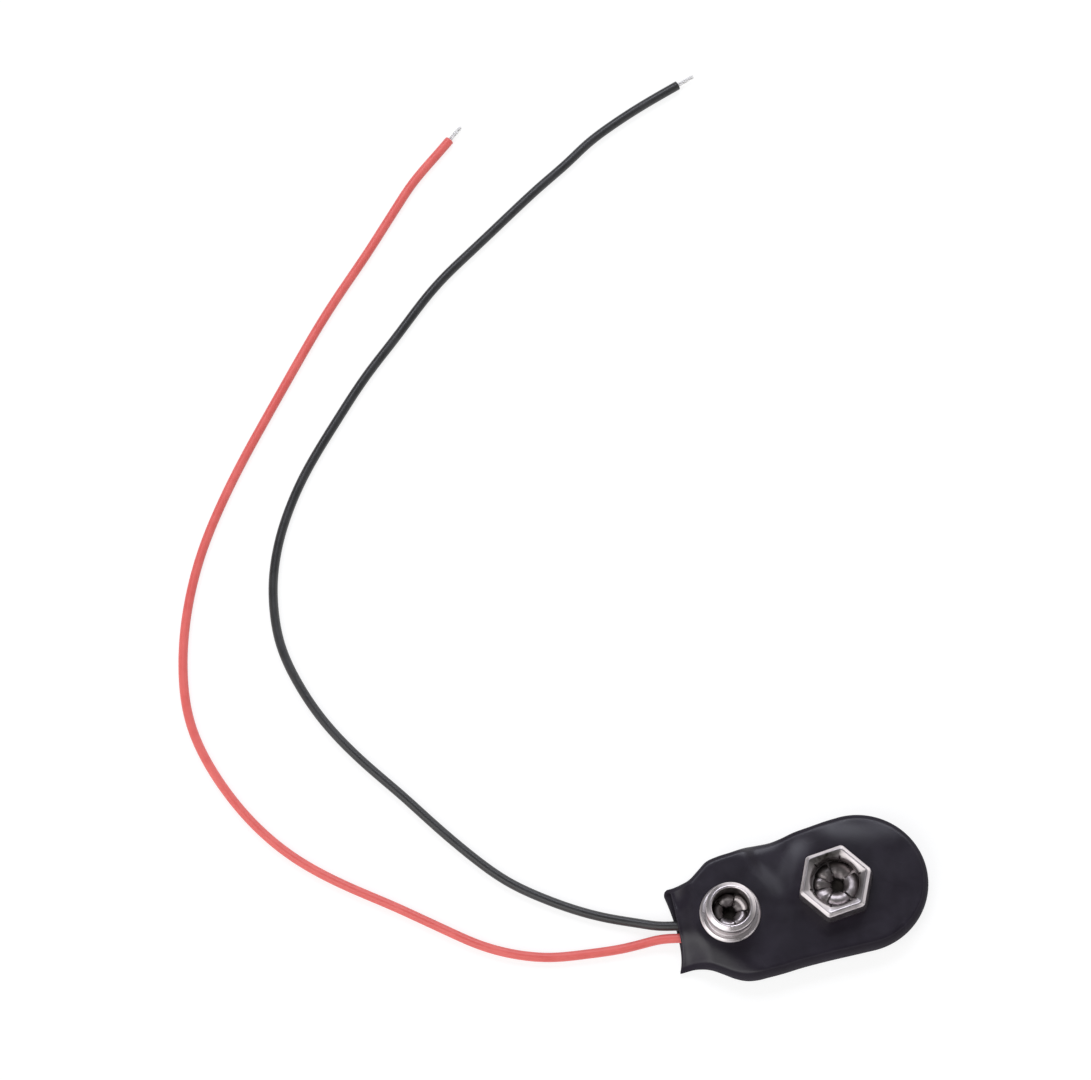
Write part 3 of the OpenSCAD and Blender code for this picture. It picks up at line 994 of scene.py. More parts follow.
@dataclass(kw_only=True)
class VinylSleeve(Part):
    """Soft pocket, two skins swept from the open mouth to the round end.

    Its front falls to a valley between the snaps, swells beside them and sinks towards the far end and
    side. A ramp or hump whose name ends in x or y runs along or across the pocket, and one whose name ends
    in r runs out from a snap. The mouth's edge is drawn in by a dip on the front and on the back.
    """

    node: str = "vinyl_sleeve"
    finish: Finish = VINYL
    mouth_x: float = -15.25
    end_x: float = 7.25
    end_r: float = 8.25
    neck_half: float = 5.0
    pinch_x: float = -11.4
    upper_edge: Sequence[Span] = (
        (-15.3, 5.0), (-12.9, 5.0), (-11.8, 5.17), (-10.4, 6.03), (-9.3, 6.78), (-7.8, 7.11), (-6.3, 7.21),
        (-4.5, 7.33), (-2.9, 7.24), (-1.5, 7.18), (-0.2, 7.33), (1.5, 7.68), (3.5, 7.88), (5.9, 8.1),
        (7.3, 8.15),
    )
    lower_edge: Sequence[Span] = (
        (-15.3, 5.0), (-13.4, 5.05), (-11.7, 5.64), (-10.4, 6.52), (-9.4, 7.25), (-8.2, 7.86), (-7.0, 8.12),
        (-5.6, 8.15), (-3.5, 8.12), (-1.8, 8.02), (1.2, 7.98), (4.7, 8.04), (7.3, 8.09),
    )
    front_z: float = 3.2
    vinyl_t: float = 0.5
    edge_reach: float = 0.8
    socket_squash: float = 0.86

    valley_depth: float = 0.42
    valley_stud_r: Ramp = Ramp(4.3, 3.0)
    valley_socket_r: Ramp = Ramp(4.2, 2.6)
    valley_start_x: Ramp = Ramp(-5.0, 2.0)
    valley_end_x: Ramp = Ramp(5.0, -4.0)
    valley_y: Ramp = Ramp(-4.0, 9.0)

    stud_mound_h: float = 0.0595
    stud_mound_r: Hump = Hump(5.3, 0.8)
    stud_mound_x: Ramp = Ramp(-4.7, 2.0)
    socket_mound_h: float = 0.1105
    socket_mound_r: Hump = Hump(5.2, 1.2)
    socket_mound_x: Ramp = Ramp(2.8, -2.4)
    mound_y: Ramp = Ramp(-1.0, 2.0)

    end_drop: float = 0.15
    end_drop_x: Ramp = Ramp(9.0, 5.0)
    side_drop: float = 0.4
    side_drop_x: Ramp = Ramp(2.5, 4.0)
    side_drop_y: Ramp = Ramp(3.0, 5.5)
    side_drop_r: Ramp = Ramp(4.0, 3.5)

    glint_x: Hump = Hump(-2.9, 2.4, power=4)
    glint_share: float = 0.9
    streak_drop: float = 0.2
    streak_y: Ramp = Ramp(5.8, 1.5)
    dull_band: Ramp = Ramp(0.9995, -0.06)

    wave_h: float = 0.018
    waves: Sequence[Place] = ((0.9, 0.5, 1.0), (0.4, -1.1, 2.0), (1.3, 1.2, 0.0))
    stud_calm_r: float = 3.7
    socket_calm_r: float = 4.4

    mouth_t: float = 2.4
    mouth_flat: float = 1.8
    corner_t: float = 1.3
    corner_most: float = 1.05
    slack_share: float = 0.3
    slack_way: Span = (-0.76, -0.65)
    slack_out: Ramp = Ramp(9.2, 4.6)
    slack_y: Ramp = Ramp(-0.4, -3.0)
    front_dip: float = 1.1
    front_slant: float = 0.06
    front_corner: float = 0.8
    back_dip: float = 0.95
    back_bow: float = 0.5
    back_corner: float = 0.45
    lip_bulge: float = 0.14
    lip_angles: Sequence[float] = (45.0, 90.0, 135.0)

    hole_r: float = 1.4
    punch_z: Span = (-0.9, 0.6)
    punch_sides: int = 64
    side_ribs: int = 88
    end_ribs: int = 45
    edge_steps: int = 12
    span_steps: int = 48

    def ribs(self, edge: Sequence[Span]) -> np.ndarray:
        """Ribs from the mouth to the round end.

        Args:
            edge: Half width along the pocket on one side.

        Returns:
            For each rib its edge point, an inward direction and a wall stretch.
        """
        x = np.linspace(self.mouth_x, self.end_x, self.side_ribs, endpoint=False)
        half = curve(edge, x)
        sides = np.column_stack((x, half, 0 * x, 0 * x - 1, np.hypot(1, np.gradient(half, x))))
        a = np.radians(np.linspace(0, 90, self.end_ribs))
        bend_x = self.end_x + self.end_r * np.sin(a)
        bend = np.column_stack((bend_x, edge[-1][1] * np.cos(a), -np.sin(a), -np.cos(a), 0 * a + 1))
        return np.vstack((sides, bend))

    def relief(self, x: np.ndarray, y: np.ndarray) -> np.ndarray:
        """Rise of the front over its plain height.

        Args:
            x: Places along the pocket.
            y: Places across it.

        Returns:
            The rise at each place, less than 0 where the front sinks.
        """
        stud = np.hypot(x - Terminal.STUD.seat().x, y)
        socket = np.hypot(x - Terminal.SOCKET.seat().x, self.socket_squash * y)
        between = self.valley_stud_r.at(stud) * self.valley_socket_r.at(socket)
        ends = self.valley_start_x.at(x) * self.valley_end_x.at(x)
        valley = self.valley_depth * between * ends * self.valley_y.at(y)
        stud_side = self.stud_mound_h * self.stud_mound_r.at(stud) * self.stud_mound_x.at(x)
        socket_side = self.socket_mound_h * self.socket_mound_r.at(socket) * self.socket_mound_x.at(x)
        mounds = self.mound_y.at(y) * (stud_side + socket_side)
        end = self.end_drop * self.end_drop_x.at(x)
        far_side = self.side_drop_y.at(y) * self.side_drop_x.at(x) * self.side_drop_r.at(socket)
        streak = self.streak_drop * self.glint_x.at(x) * self.streak_y.at(y)
        wave = sum(np.sin(along * x + across * y + start) for along, across, start in self.waves)
        away = smooth(np.minimum(stud - self.stud_calm_r, socket - self.socket_calm_r))
        fall = end + self.side_drop * far_side + streak
        return mounds - valley - fall + self.wave_h * wave / len(self.waves) * away

    def place(self, x: np.ndarray, y: np.ndarray, up: np.ndarray, inset: float) -> np.ndarray:
        """Points of a skin.

        Args:
            x: Places along the pocket.
            y: Places across it.
            up: From -1 on the back to 1 on the front.
            inset: Depth of the skin under the outer one.

        Returns:
            The points, in rows.
        """
        neck = self.pinch_x - self.mouth_x
        corner = Ramp(self.mouth_flat, self.neck_half - self.mouth_flat).at(np.abs(y))
        mouth = mix(self.mouth_t, self.corner_t, corner)
        height = mix(mouth, self.front_z, Ramp(self.mouth_x, neck).at(x))
        slack = self.slack_out.at(self.slack_way[0] * x + self.slack_way[1] * y) * self.slack_y.at(y)
        height = height * (1 - self.slack_share * slack)
        z = height / 2 + up * (height / 2 - inset)
        if inset == 0:
            z = z + self.relief(x, y) * np.clip(up, 0, 1) ** 2
        fade = np.clip((self.pinch_x - x) / neck, 0, 1) ** 2
        across = y / self.neck_half
        corner_out = np.clip(-across, 0, self.corner_most) ** 4
        front = self.front_dip + self.front_slant * y - self.front_corner * corner_out
        back = self.back_dip - self.back_bow * across**2 - self.back_corner * corner_out
        return np.stack((x + mix(back, front, (1 + up) / 2) * fade, y, z), axis=-1)

    def skin(self, inset: float) -> tuple[np.ndarray, np.ndarray]:
        """One skin as closed loops, one loop per rib.

        Args:
            inset: Depth of the skin under the outer one.

        Returns:
            The points in rows, and how much each belongs to the dull edge.
        """
        angle = np.radians(np.linspace(0, 90, self.edge_steps + 1))
        sides = []
        for edge in (self.upper_edge, self.lower_edge):
            x, half, in_x, in_y, stretch = self.ribs(edge).T[:, :, None]
            depth = inset * stretch + (self.edge_reach - inset) * (1 - np.cos(angle))
            sides.append((x + in_x * depth, half + in_y * depth))
        (up_x, up_y), (low_x, low_y) = sides
        share = np.linspace(0, 1, self.span_steps + 1)[1:-1]
        span_x = mix(up_x[:, -1:], low_x[:, -1:], share)
        span_y = mix(up_y[:, -1:], -low_y[:, -1:], share)
        lift = np.sin(angle)
        flat = np.ones(len(share))
        xs = np.hstack((up_x, span_x, low_x[:, ::-1], low_x[:, 1:], span_x[:, ::-1], up_x[:, :0:-1]))
        ys = np.hstack((up_y, span_y, -low_y[:, ::-1], -low_y[:, 1:], span_y[:, ::-1], up_y[:, :0:-1]))
        up = np.concatenate((lift, flat, lift[::-1], -lift[1:], -flat, -lift[:0:-1]))
        glint = self.glint_share * self.glint_x.at(xs) * (ys > 0)
        dull_and_shade = self.dull_band.at(np.abs(up)) * (1 - glint)
        return self.place(xs, ys, np.broadcast_to(up, xs.shape), inset), dull_and_shade

    def build(self) -> list[bpy.types.Object]:
        """Makes the pocket with a round lip and punches its two holes.

        Returns:
            The pocket.
        """
        outer, outer_dull = self.skin(0.0)
        inner, inner_dull = self.skin(self.vinyl_t)
        middle = (outer[0] + inner[0]) / 2
        turn = np.radians(self.lip_angles)[:, None, None]
        bulge = np.array((-self.lip_bulge, 0, 0))
        lip = middle + (outer[0] - middle) * np.cos(turn) + bulge * np.sin(turn)
        loops = np.concatenate((outer[::-1], lip, inner))
        rows, columns = loops.shape[:2]
        dull_and_shade = np.concatenate((outer_dull[::-1], np.ones((len(lip), columns)), inner_dull))
        piece = new_piece("vinyl_pocket", loops, grid_faces(rows, columns, wrap_columns=True), edge=dull_and_shade)
        for snap in Terminal:
            self._punch(piece, snap.seat())
        piece.data.shade_smooth()
        return [piece]

    def _punch(self, piece: bpy.types.Object, seat: Vector) -> None:
        """Cuts a rivet hole through the front wall.

        Args:
            piece: The pocket.
            seat: Middle of the snap's foot.
        """
        sides = self.punch_sides
        angle = np.linspace(0, 2 * np.pi, sides, endpoint=False)
        points = around(seat, self.hole_r, angle, seat.z + np.array(self.punch_z)[:, None])
        ends = [tuple(range(sides)), tuple(range(sides, 2 * sides))]
        punch = new_piece("punch", points, grid_faces(2, sides, wrap_columns=True) + ends)
        cut = piece.modifiers.new("hole", "BOOLEAN")
        cut.object = punch
        cut.solver = "EXACT"
        whole = piece.evaluated_get(bpy.context.evaluated_depsgraph_get())
        old = piece.data
        piece.data = bpy.data.meshes.new_from_object(whole)
        piece.modifiers.clear()
        bpy.data.meshes.remove(old)
        bpy.data.meshes.remove(punch.data)


# Snaps

@dataclass(kw_only=True)
class Stud(Part):
    """Round stud, drawn and folded from thin sheet, with painted shade in its cup and round its foot."""

    node: str = Terminal.STUD.node
    finish: Finish = NICKEL
    wall_d: float = 5.95
    flange_d: float = 7.1
    height: float = 3.3
    sheet_t: float = 0.18
    mouth_r: float = 2.3
    fold_r: float = 0.1
    fold_end: float = 70.0
    cone_out: float = 0.135
    cone_drop: float = 0.006
    shoulder_w: float = 0.4
    shoulder_drop: float = 0.22
    bulge_h: float = 0.42
    waist_r: float = 2.66
    cup_r: float = 2.28
    cup_bend_r: float = 0.25
    foot_bend_r: float = 0.3
    flange_lift: float = 0.2
    edge_bend_r: float = 0.5
    edge_angles: Span = (88.0, 32.0)
    hole_r: float = 1.35
    wall_steps: int = 11
    bulge_steps: int = 8
    segments: int = 144
    # Painted shade inside the cup and round the foot.
    cup_shade_film: float = 0.86
    cup_shade_film_r: Ramp = Ramp(2.35, -0.12)
    cup_shade_film_z: Ramp = Ramp(3.18, -0.4)
    foot_shade_film: float = 0.5
    foot_shade_film_z: Ramp = Ramp(0.7, -0.5)
    foot_shade_film_in: Ramp = Ramp(2.4, 0.1)
    foot_shade_film_out: Ramp = Ramp(3.1, -0.3)

    def profile(self) -> np.ndarray:
        """Middle line of the sheet from the rivet's hole to the flange's edge.

        Returns:
            Radius and height over the vinyl, in rows.
        """
        z = self.sheet_t / 2
        top = self.height - z
        wall_r = (self.wall_d - self.sheet_t) / 2
        floor_r = self.cup_r - self.cup_bend_r
        cup_z = z + self.cup_bend_r
        foot_z = z + self.flange_lift
        fold_r = self.mouth_r + self.fold_r
        fold = arc((fold_r, top - self.fold_r), self.fold_r, 180, self.fold_end, steps=8)
        shoulder = np.array((fold_r + self.shoulder_w, top - self.shoulder_drop))
        turn = np.radians(np.linspace(0, 90, self.bulge_steps + 1))[1:, None]
        swell = (wall_r - shoulder[0]) * np.sin(turn)
        bulge = shoulder + np.hstack((swell, -self.bulge_h * (1 - np.cos(turn))))
        foot_r = self.waist_r + self.foot_bend_r
        foot = arc((foot_r, foot_z + self.foot_bend_r), self.foot_bend_r, 180, 270, steps=8)
        edge_r = self.flange_d / 2 - self.edge_bend_r
        down = np.linspace(0, 1, self.wall_steps + 1)[1:-1, None]
        return np.vstack((
            straight((self.hole_r, z), (floor_r, z), steps=6, with_start=True),
            arc((floor_r, cup_z), self.cup_bend_r, -90, 0, steps=6),
            straight((self.cup_r, cup_z), fold[0], self.wall_steps),
            fold,
            straight((self.mouth_r + self.cone_out, top - self.cone_drop), shoulder, self.wall_steps),
            bulge,
            mix(bulge[-1], foot[0], np.hstack((smooth(down), down))),
            foot,
            arc((edge_r, foot_z - self.edge_bend_r), self.edge_bend_r, *self.edge_angles, steps=7),
        ))

    def build(self) -> list[bpy.types.Object]:
        """Turns the sheet's outline about the stud's axis.

        Returns:
            The stud.
        """
        seat = Terminal.STUD.seat()
        r, z = thick_outline(self.profile(), self.sheet_t).T
        angle = np.linspace(0, 2 * np.pi, self.segments, endpoint=False)[:, None]
        # Painted shade: darker inside the cup and round the foot where it meets the vinyl.
        cup = self.cup_shade_film * self.cup_shade_film_r.at(r) * self.cup_shade_film_z.at(z)
        foot = self.foot_shade_film * self.foot_shade_film_z.at(z) * self.foot_shade_film_in.at(r) * self.foot_shade_film_out.at(r)
        recess = np.tile(np.clip(cup + foot, 0, 1), self.segments)
        faces = grid_faces(self.segments, len(r), wrap_rows=True, wrap_columns=True)
        return [new_piece("snap_stud", around(seat, r, angle, seat.z + z), faces, recess=recess)]


@dataclass(kw_only=True)
class SheetPart(Part):
    """Start of a part that is bent from one sheet, whose middle surface is a grid closed along its rows."""

    sheet_t: float = 0.25
    edge_round: float = 0.05
    edge_steps: int = 2
    edge_angle: float = 50.0

    def thicken(
        self, name: str, points: np.ndarray, keep: np.ndarray, recess: np.ndarray,
    ) -> bpy.types.Object:
        """Sheet with its thickness and round cut edges.

        Args:
            name: Name of the piece.
            points: Middle surface, in rows.
            keep: Which cells of the grid are sheet.
            recess: Mask of painted shade, how deep in the shade each point lies.

        Returns:
            The piece, with its thickness as modifiers.
        """
        cells = np.array(grid_faces(*points.shape[:2], wrap_columns=True))[keep.reshape(-1)]
        used, cells = np.unique(cells, return_inverse=True)
        faces = cells.reshape(-1, 4).tolist()
        piece = new_piece(name, points.reshape(-1, 3)[used], faces, recess=recess.reshape(-1)[used])
        shell = piece.modifiers.new("sheet", "SOLIDIFY")
        shell.thickness = self.sheet_t * MM
        shell.offset = 0.0
        shell.use_even_offset = True
        edge = piece.modifiers.new("edge", "BEVEL")
        edge.width = self.edge_round * MM
        edge.segments = self.edge_steps
        edge.angle_limit = math.radians(self.edge_angle)
        return piece


@dataclass(frozen=True)
class SocketRows:
    """Rows of the socket's sheet, and the numbers of those where rim, leaves and slits start."""

    flat_r: np.ndarray
    z: np.ndarray
    hexness: np.ndarray
    rim: int
    leaf: int
    slit: int


@dataclass(kw_only=True)
class Socket(SheetPart):
    """Hexagonal socket, a drawn cup whose rolled rim folds inward into six spring leaves.

    Each side shade is painted shade on the leaves of one facet, given by the facet's azimuth and its
    strength.
    """

    node: str = Terminal.SOCKET.node
    finish: Finish = NICKEL
    flats: float = 7.7
    sides: int = 6
    corner_r: float = 0.45
    turn: float = 35.0
    lean: float = 0.09
    hole_r: float = 1.3
    bend_r: float = 0.35
    foot_flare: float = 0.12
    rim_z: float = 2.85
    rim_drop: float = 0.42
    rim_bend_r: float = 0.2
    rim_slope: float = 48.0
    rim_slope_len: float = 0.3
    ridge_r: float = 0.09
    ridge_end: float = 118.0
    funnel_drop: float = 0.25
    funnel_power: float = 2.2
    waist_r: float = 2.895
    waist_z: float = 1.9
    waist_len: float = 0.75
    leaf_foot_z: float = 0.75
    leaf_flare: float = 0.25
    slit_half: float = 2.2
    slit_share: float = 0.45
    slit_steps: int = 4
    side_steps: int = 14
    wall_steps: int = 9
    leaf_steps: int = 16
    # Painted shade: a little on the wall, more round its foot, and on the leaves of the facets turned from
    # the light.
    wall_shade_film: float = 0.1
    foot_shade_film: float = 0.35
    foot_shade_film_r: float = 3.6
    foot_shade_film_z: Ramp = Ramp(0.9, -0.7)
    leaf_shade_film: float = 0.08
    side_shades: Sequence[Span] = ((95.0, 1.0), (335.0, 0.6), (35.0, 0.12), (155.0, 0.3))
    side_shade_width: float = 38.0
    side_shade_row: Ramp = Ramp(0.58, 0.2)

    @property
    def half_side(self) -> float:
        """Half of the angle that one side takes up."""
        return 180 / self.sides

    def hex_radius(self, r: np.ndarray, a: np.ndarray) -> np.ndarray:
        """Radius of a hexagon with round corners.

        Args:
            r: Distance of its flats from the middle.
            a: Angles from the middle of a flat, at most half a side to either hand.

        Returns:
            The radius at each angle.
        """
        least = 0.05
        half = math.radians(self.half_side)
        a = np.radians(np.abs(a))
        inner = np.maximum(r - self.corner_r, least)
        corner = inner / math.cos(half)
        flat = np.arctan(inner * math.tan(half) / r)
        bow = np.sqrt(np.maximum(self.corner_r**2 - (corner * np.sin(half - a)) ** 2, 0.0))
        return np.where(a < flat, r / np.cos(a), corner * np.cos(half - a) + bow)

    def rim(self, wall_r: float, foot: float) -> np.ndarray:
        """Rim over the wall: a short bend, a bevel and a narrow ridge.

        Args:
            wall_r: Distance of the wall from the middle.
            foot: Height at which the wall ends.

        Returns:
            The rim's middle line, as radius and height.
        """
        slope = math.radians(self.rim_slope)
        out = np.array((math.cos(slope), math.sin(slope)))
        bend = arc((wall_r - self.rim_bend_r, foot), self.rim_bend_r, 0, self.rim_slope, steps=6)
        crest = bend[-1] + self.rim_slope_len * np.array((-out[1], out[0]))
        ridge = arc(crest - self.ridge_r * out, self.ridge_r, self.rim_slope, self.ridge_end, steps=8)
        return np.vstack((bend, straight(bend[-1], crest, steps=5), ridge))

    def sections(self) -> SocketRows:
        """Sheet from the rivet's hole over the wall and the rim to the foot of a leaf.

        Returns:
            Its rows.
        """
        z = self.sheet_t / 2
        wall_r = (self.flats - self.sheet_t) / 2
        floor_r = wall_r - self.bend_r
        wall_z = z + self.bend_r
        rim_foot = self.rim_z - self.rim_drop
        floor = straight((self.hole_r, z), (floor_r, z), steps=12, with_start=True)
        bend = arc((floor_r + self.foot_flare, wall_z), self.bend_r, -90, 0, steps=8)
        rise = np.linspace(0, 1, self.wall_steps + 1)[1:-1]
        wall = np.column_stack((wall_r + self.foot_flare * (1 - rise) ** 2, mix(wall_z, rim_foot, rise)))
        rim = self.rim(wall_r, rim_foot)
        leaf_r, leaf_z = rim[-1]
        share = np.linspace(0, 1, self.leaf_steps + 1)[1:]
        knee = (1 - share) ** self.funnel_power
        plunge = (leaf_z - self.funnel_drop - self.waist_z) * share**3
        leaf = np.column_stack((
            mix(self.waist_r, leaf_r, knee), leaf_z - self.funnel_drop * (1 - knee) - plunge,
        ))
        waist_end = (self.waist_r, self.waist_z - self.waist_len)
        waist = straight((self.waist_r, self.waist_z), waist_end, steps=5, with_end=True)
        leaf_end = (self.waist_r + self.leaf_flare, self.leaf_foot_z)
        foot = straight(waist_end, leaf_end, steps=3, with_end=True)
        hexness = np.concatenate((
            Ramp(self.hole_r, floor_r - self.hole_r).at(floor[:, 0]),
            np.ones(len(bend) + len(wall) + len(rim)), 1 - smooth(share), np.zeros(len(waist) + len(foot)),
        ))
        rim_row = len(floor) + len(bend) + len(wall)
        leaf_row = rim_row + len(rim)
        slit_row = leaf_row + int(self.slit_share * len(share))
        flat_r, height = np.vstack((floor, bend, wall, rim, leaf, waist, foot)).T
        return SocketRows(flat_r, height, hexness, rim_row, leaf_row, slit_row)

    def shade_film(self, rows: SocketRows, angle: np.ndarray) -> np.ndarray:
        """Painted shade round the foot of the wall and on the leaves of the facets turned from the light.

        Args:
            rows: The sheet's rows.
            angle: Azimuths of its columns in radians.

        Returns:
            How deep in the painted shade each point lies.
        """
        # Painted shade round the wall's foot, then on the leaves by the azimuth of their facet.
        foot = self.foot_shade_film * self.foot_shade_film_z.at(rows.z) * (rows.flat_r > self.foot_shade_film_r)
        side_shade = 0.0
        for middle, strength in self.side_shades:
            off = (np.degrees(angle) - middle + 180) % 360 - 180
            side_shade = side_shade + strength * Hump(0.0, self.side_shade_width).at(off)
        row = np.arange(len(rows.z))[:, None]
        inward = self.side_shade_row.at((row - rows.rim) / (rows.leaf - rows.rim))
        leaves = np.clip(self.leaf_shade_film + side_shade * inward, 0, 1)
        return np.where(row < rows.rim, self.wall_shade_film + foot[:, None], leaves)

    def build(self) -> list[bpy.types.Object]:
        """Makes the socket's sheet and leaves its six slits open.

        Returns:
            The socket.
        """
        seat = Terminal.SOCKET.seat()
        rows = self.sections()
        half = self.half_side
        slit = np.linspace(self.slit_half, 0, self.slit_steps + 1)
        leaf = np.linspace(self.slit_half - half, half - self.slit_half, self.side_steps + 1)[1:-1]
        side = np.concatenate((slit[::-1] - half, leaf, half - slit[:-1]))
        a = np.tile(side, self.sides)
        angle = np.radians(a + np.repeat(np.arange(self.sides) * 2 * half, len(side)) + self.turn)
        r = rows.flat_r[:, None]
        z = rows.z[:, None]
        radius = mix(r, self.hex_radius(r, a), rows.hexness[:, None])
        points = around(seat, radius, angle, seat.z + z)
        points[..., 0] -= self.lean * z
        ahead = np.roll(a, -1)
        middle = np.where(np.abs(ahead - a) > half, half, (a + ahead) / 2)
        keep = np.ones((len(r) - 1, len(a)), bool)
        keep[rows.slit:, np.abs(middle) > half - self.slit_half] = False
        return [self.thicken("snap_socket", points, keep, self.shade_film(rows, angle))]


@dataclass(kw_only=True)
class Rivet(SheetPart):
    """Hollow rivet, clinched behind the board and split into petals in front.

    The petals on the side of lift_at stand up and close over the hole, and those on the side of crowd_at
    lie closer together. A wave has its pitch and its start.
    """

    finish: Finish = RIVET
    snap: Terminal
    sheet_over: float
    shank_r: float = 1.175
    board_z: float = 1.9
    clinch_r: float = 1.8
    clinch_bend_r: float = 0.175
    roll_r: float
    roll_h: float = 0.42
    roll_end: float = 5.0
    turn: float = 12.0
    splits: int = 6
    split_w: float = 0.22
    split_from: float = 1.35
    split_under: float = 0.05
    petal_steps: int = 20
    petal_rise: float = 0.15
    petal_rise_gap: Ramp = Ramp(0.0, 0.75)
    petal_tilt: float
    tilt_wave: Span = (1.9, 2.1)
    uneven: float
    uneven_wave: Span = (2.4, 0.7)
    head_z: Ramp = Ramp(-0.1, 0.2)
    head_r: Ramp = Ramp(0.0, 0.35)
    notch: float = 0.12
    notch_gap: Hump = Hump(0.0, 0.26)
    pinch: float = 0.5
    pinch_least: float = 0.35
    pinch_z: Hump = Hump(0.0, 0.4)
    pinch_gap: Ramp = Ramp(0.0, 0.5)
    lift: float
    lift_at: float
    crowd: float = 0.0
    crowd_at: float = 165.0
    # Painted shade on the petals: a base amount, plus an amount that grows towards the azimuth below.
    dull_and_shade: Span
    dull_and_shade_at: float = 85.0
    # Painted shade in the hollow under the roll.
    hollow_share: float = 0.4
    hollow_depth: float = 0.9

    def profile(self, top: float) -> np.ndarray:
        """Middle line of the sheet from the clinched end to the rim of the head.

        Args:
            top: Height of the sheet that the head lies on.

        Returns:
            Radius and height, in rows.
        """
        foot_z = self.board_z - self.sheet_t / 2
        bend_r = self.shank_r + self.clinch_bend_r
        bend = arc((bend_r, foot_z + self.clinch_bend_r), self.clinch_bend_r, 270, 180, steps=6)
        roll = arc((1, 0), 1, 180, self.roll_end, steps=16) * (self.roll_r, self.roll_h)
        roll = roll + (self.shank_r, top)
        clinch = straight((self.clinch_r, foot_z), bend[0], steps=4, with_start=True)
        return np.vstack((clinch, bend, straight(bend[-1], roll[0], steps=9), roll))

    def build(self) -> list[bpy.types.Object]:
        """Makes the rivet's sheet with its head split into petals.

        Returns:
            The rivet.
        """
        seat = self.snap.seat()
        top = seat.z + self.sheet_over
        r, z = self.profile(top).T[:, :, None]
        out = r - self.shank_r
        over = z - top
        count = self.splits * self.petal_steps
        angle = (np.arange(count) + 0.5) * 360 / count
        wide = 360 / self.splits
        petal = np.floor(angle / wide)
        across = angle / wide % 1 * 2 - 1
        gap = np.radians(wide / 2 * (1 - np.abs(across))) * (self.shank_r + self.roll_r)
        head = self.head_z.at(over) * self.head_r.at(out)
        uneven = self.uneven * np.sin(self.uneven_wave[0] * petal + self.uneven_wave[1])
        tilt = self.petal_tilt * np.sin(self.tilt_wave[0] * petal + self.tilt_wave[1]) * across
        facing = np.cos(np.radians((petal + 0.5) * wide + self.turn - self.lift_at))
        throat = self.pinch_z.at(over) * (1 - smooth(out / self.roll_r)) * self.pinch_gap.at(gap)
        closed = self.pinch * mix(self.pinch_least, 1.0, (1 + facing) / 2) * throat
        raised = self.lift * np.clip(facing, 0, 1) ** 4 * out / (2 * self.roll_r)
        radius = r - closed + head * (out * uneven - self.notch * self.notch_gap.at(gap))
        rise = head * (self.petal_rise * (1 + uneven) * self.petal_rise_gap.at(gap) + tilt + raised)
        turned = np.radians(angle + self.turn)
        crowded = turned - math.radians(self.crowd) * np.sin(turned - math.radians(self.crowd_at))
        points = around(seat, radius, crowded, z + rise)
        open_rows = (r[:-1, 0] > self.split_from) & (over[:-1, 0] > -self.split_under)
        keep = np.ones((len(r) - 1, count), bool)
        keep[np.ix_(open_rows, gap < self.split_w / 2)] = False
        # Painted shade: petals darker towards one side, and the hollow under the roll darker.
        side_shade = self.dull_and_shade[0] + self.dull_and_shade[1] * (1 + np.cos(turned - math.radians(self.dull_and_shade_at)))
        hollow_r = self.hollow_share * self.roll_r
        hollow = Ramp(hollow_r, -hollow_r).at(out) * smooth(-over / self.hollow_depth)
        recess = np.clip(hollow + side_shade, 0, 1)
        return [self.thicken(f"{self.snap.value}_eyelet", points, keep, recess)]


@dataclass
class Inside:
    """Board and solder joints inside the pocket, kept as they were packed."""

    finishes: dict[str, Finish] = field(default_factory=lambda: {
        "terminal_board": FIBRE, "stud_solder": SOLDER, "socket_solder": SOLDER,
    })

    def dress(self, effects: Effects) -> None:
        """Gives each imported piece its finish."""
        for name, finish in self.finishes.items():
            finish.put_on(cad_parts[name], effects)


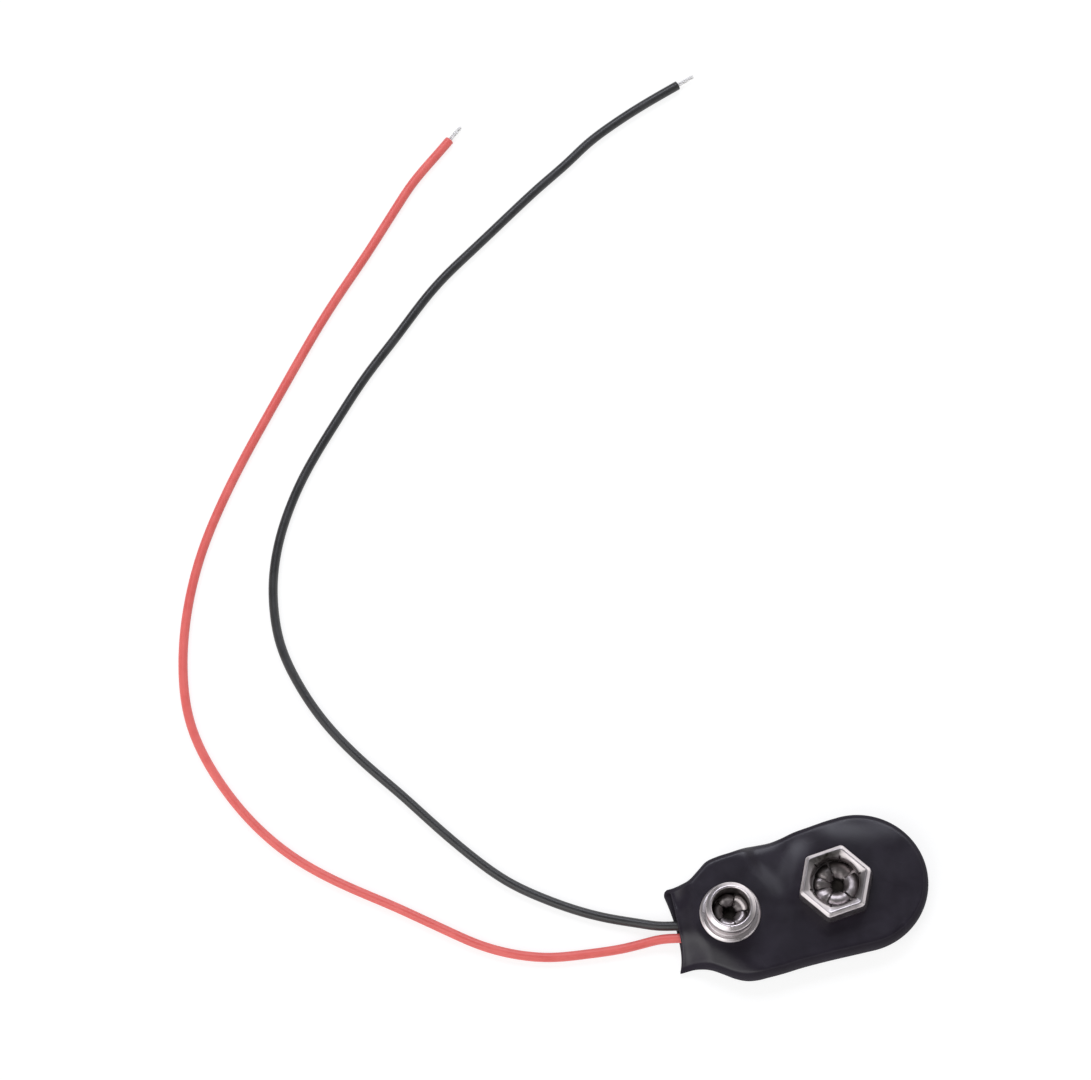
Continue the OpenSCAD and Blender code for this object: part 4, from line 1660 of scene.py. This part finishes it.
BLACK_ROUTE = (
    (-11, 0, 1), (-12.5, 0, 1), (-14.5, 0.5, 1), (-16.5, 1, 0.6), (-18.5, 2, 0.2), (-22, 3.5), (-25.5, 5.5),
    (-29, 8), (-32, 10.5), (-34.5, 13.5), (-37, 17), (-39, 20), (-41.5, 24), (-44, 27.5), (-46.5, 31.5),
    (-48.5, 35.5), (-50, 40), (-51, 45), (-50.5, 50), (-49.5, 54), (-47.5, 58.5), (-44.5, 63),
    (-41.5, 66.5), (-37.5, 70.5), (-33, 75), (-28.5, 78.5), (-24, 82.5), (-20.5, 85), (-17, 87), (-12, 90),
    (-7, 93), (-3, 95), (0, 97), (3.5, 98.5), (7.5, 100), (12.5, 101.5),
)
RED_ROUTE = (
    (1.7, 0, 1), (0, -0.5, 1), (-2, -1.5, 1), (-4.5, -2.5, 1), (-7, -3, 1), (-10, -2.5, 1),
    (-12.5, -1.5, 1), (-14.5, -1, 1), (-16.5, -0.5, 0.6), (-18.5, -0.5, 0.2), (-21.5, -0.5), (-25.5, 0),
    (-29.5, 0.5), (-33.5, 2), (-37, 4), (-40, 6.5), (-43, 9), (-46, 11.5), (-50, 14.5), (-54, 18),
    (-57, 21.5), (-59.5, 25.5), (-61.5, 30), (-63, 35), (-63.5, 40), (-62.5, 46), (-60.5, 52),
    (-57.5, 58), (-54, 63), (-50, 68), (-45.5, 73), (-41, 78), (-35.5, 84), (-30, 89), (-27, 92),
    (-24, 95), (-21.5, 97.5), (-18, 100), (-16, 101.5),
)


def main() -> None:
    """Builds the studio and every piece, and logs each step."""
    logging.basicConfig(level=logging.INFO, format="%(name)s %(message)s")
    Camera().build()
    Studio().build()
    log.info("studio built")
    effects = Effects()
    stud_rivet = Rivet(
        node="stud_rivet", snap=Terminal.STUD, sheet_over=0.18, roll_r=0.42, splits=5, turn=-14.0,
        petal_tilt=0.12, uneven=0.08, lift=0.42, lift_at=22.0, dull_and_shade=(0.0, 0.26), dull_and_shade_at=146.0,
    )
    socket_rivet = Rivet(
        node="socket_rivet", snap=Terminal.SOCKET, sheet_over=0.25, roll_r=0.74, roll_h=0.5, petal_tilt=0.2,
        uneven=0.1, lift=0.2, lift_at=165.0, crowd=24.0, dull_and_shade=(0.27, 0.2),
    )
    for part in (
        Lead(Polarity.BLACK, BLACK_PVC, 152.7, BLACK_ROUTE, exit=(-14.6, 0.5, 1.2)),
        Lead(Polarity.RED, RED_PVC, 166.1, RED_ROUTE, exit=(-14.6, -1.0, 1.2)),
        VinylSleeve(), Stud(), Socket(), stud_rivet, socket_rivet,
    ):
        pieces = part.build()
        part.dress(pieces, effects)
        for piece in pieces:
            log.info("%s built", piece.name)
    Inside().dress(effects)
    log.info("board and solder dressed")


if __name__ == "__main__":
    main()
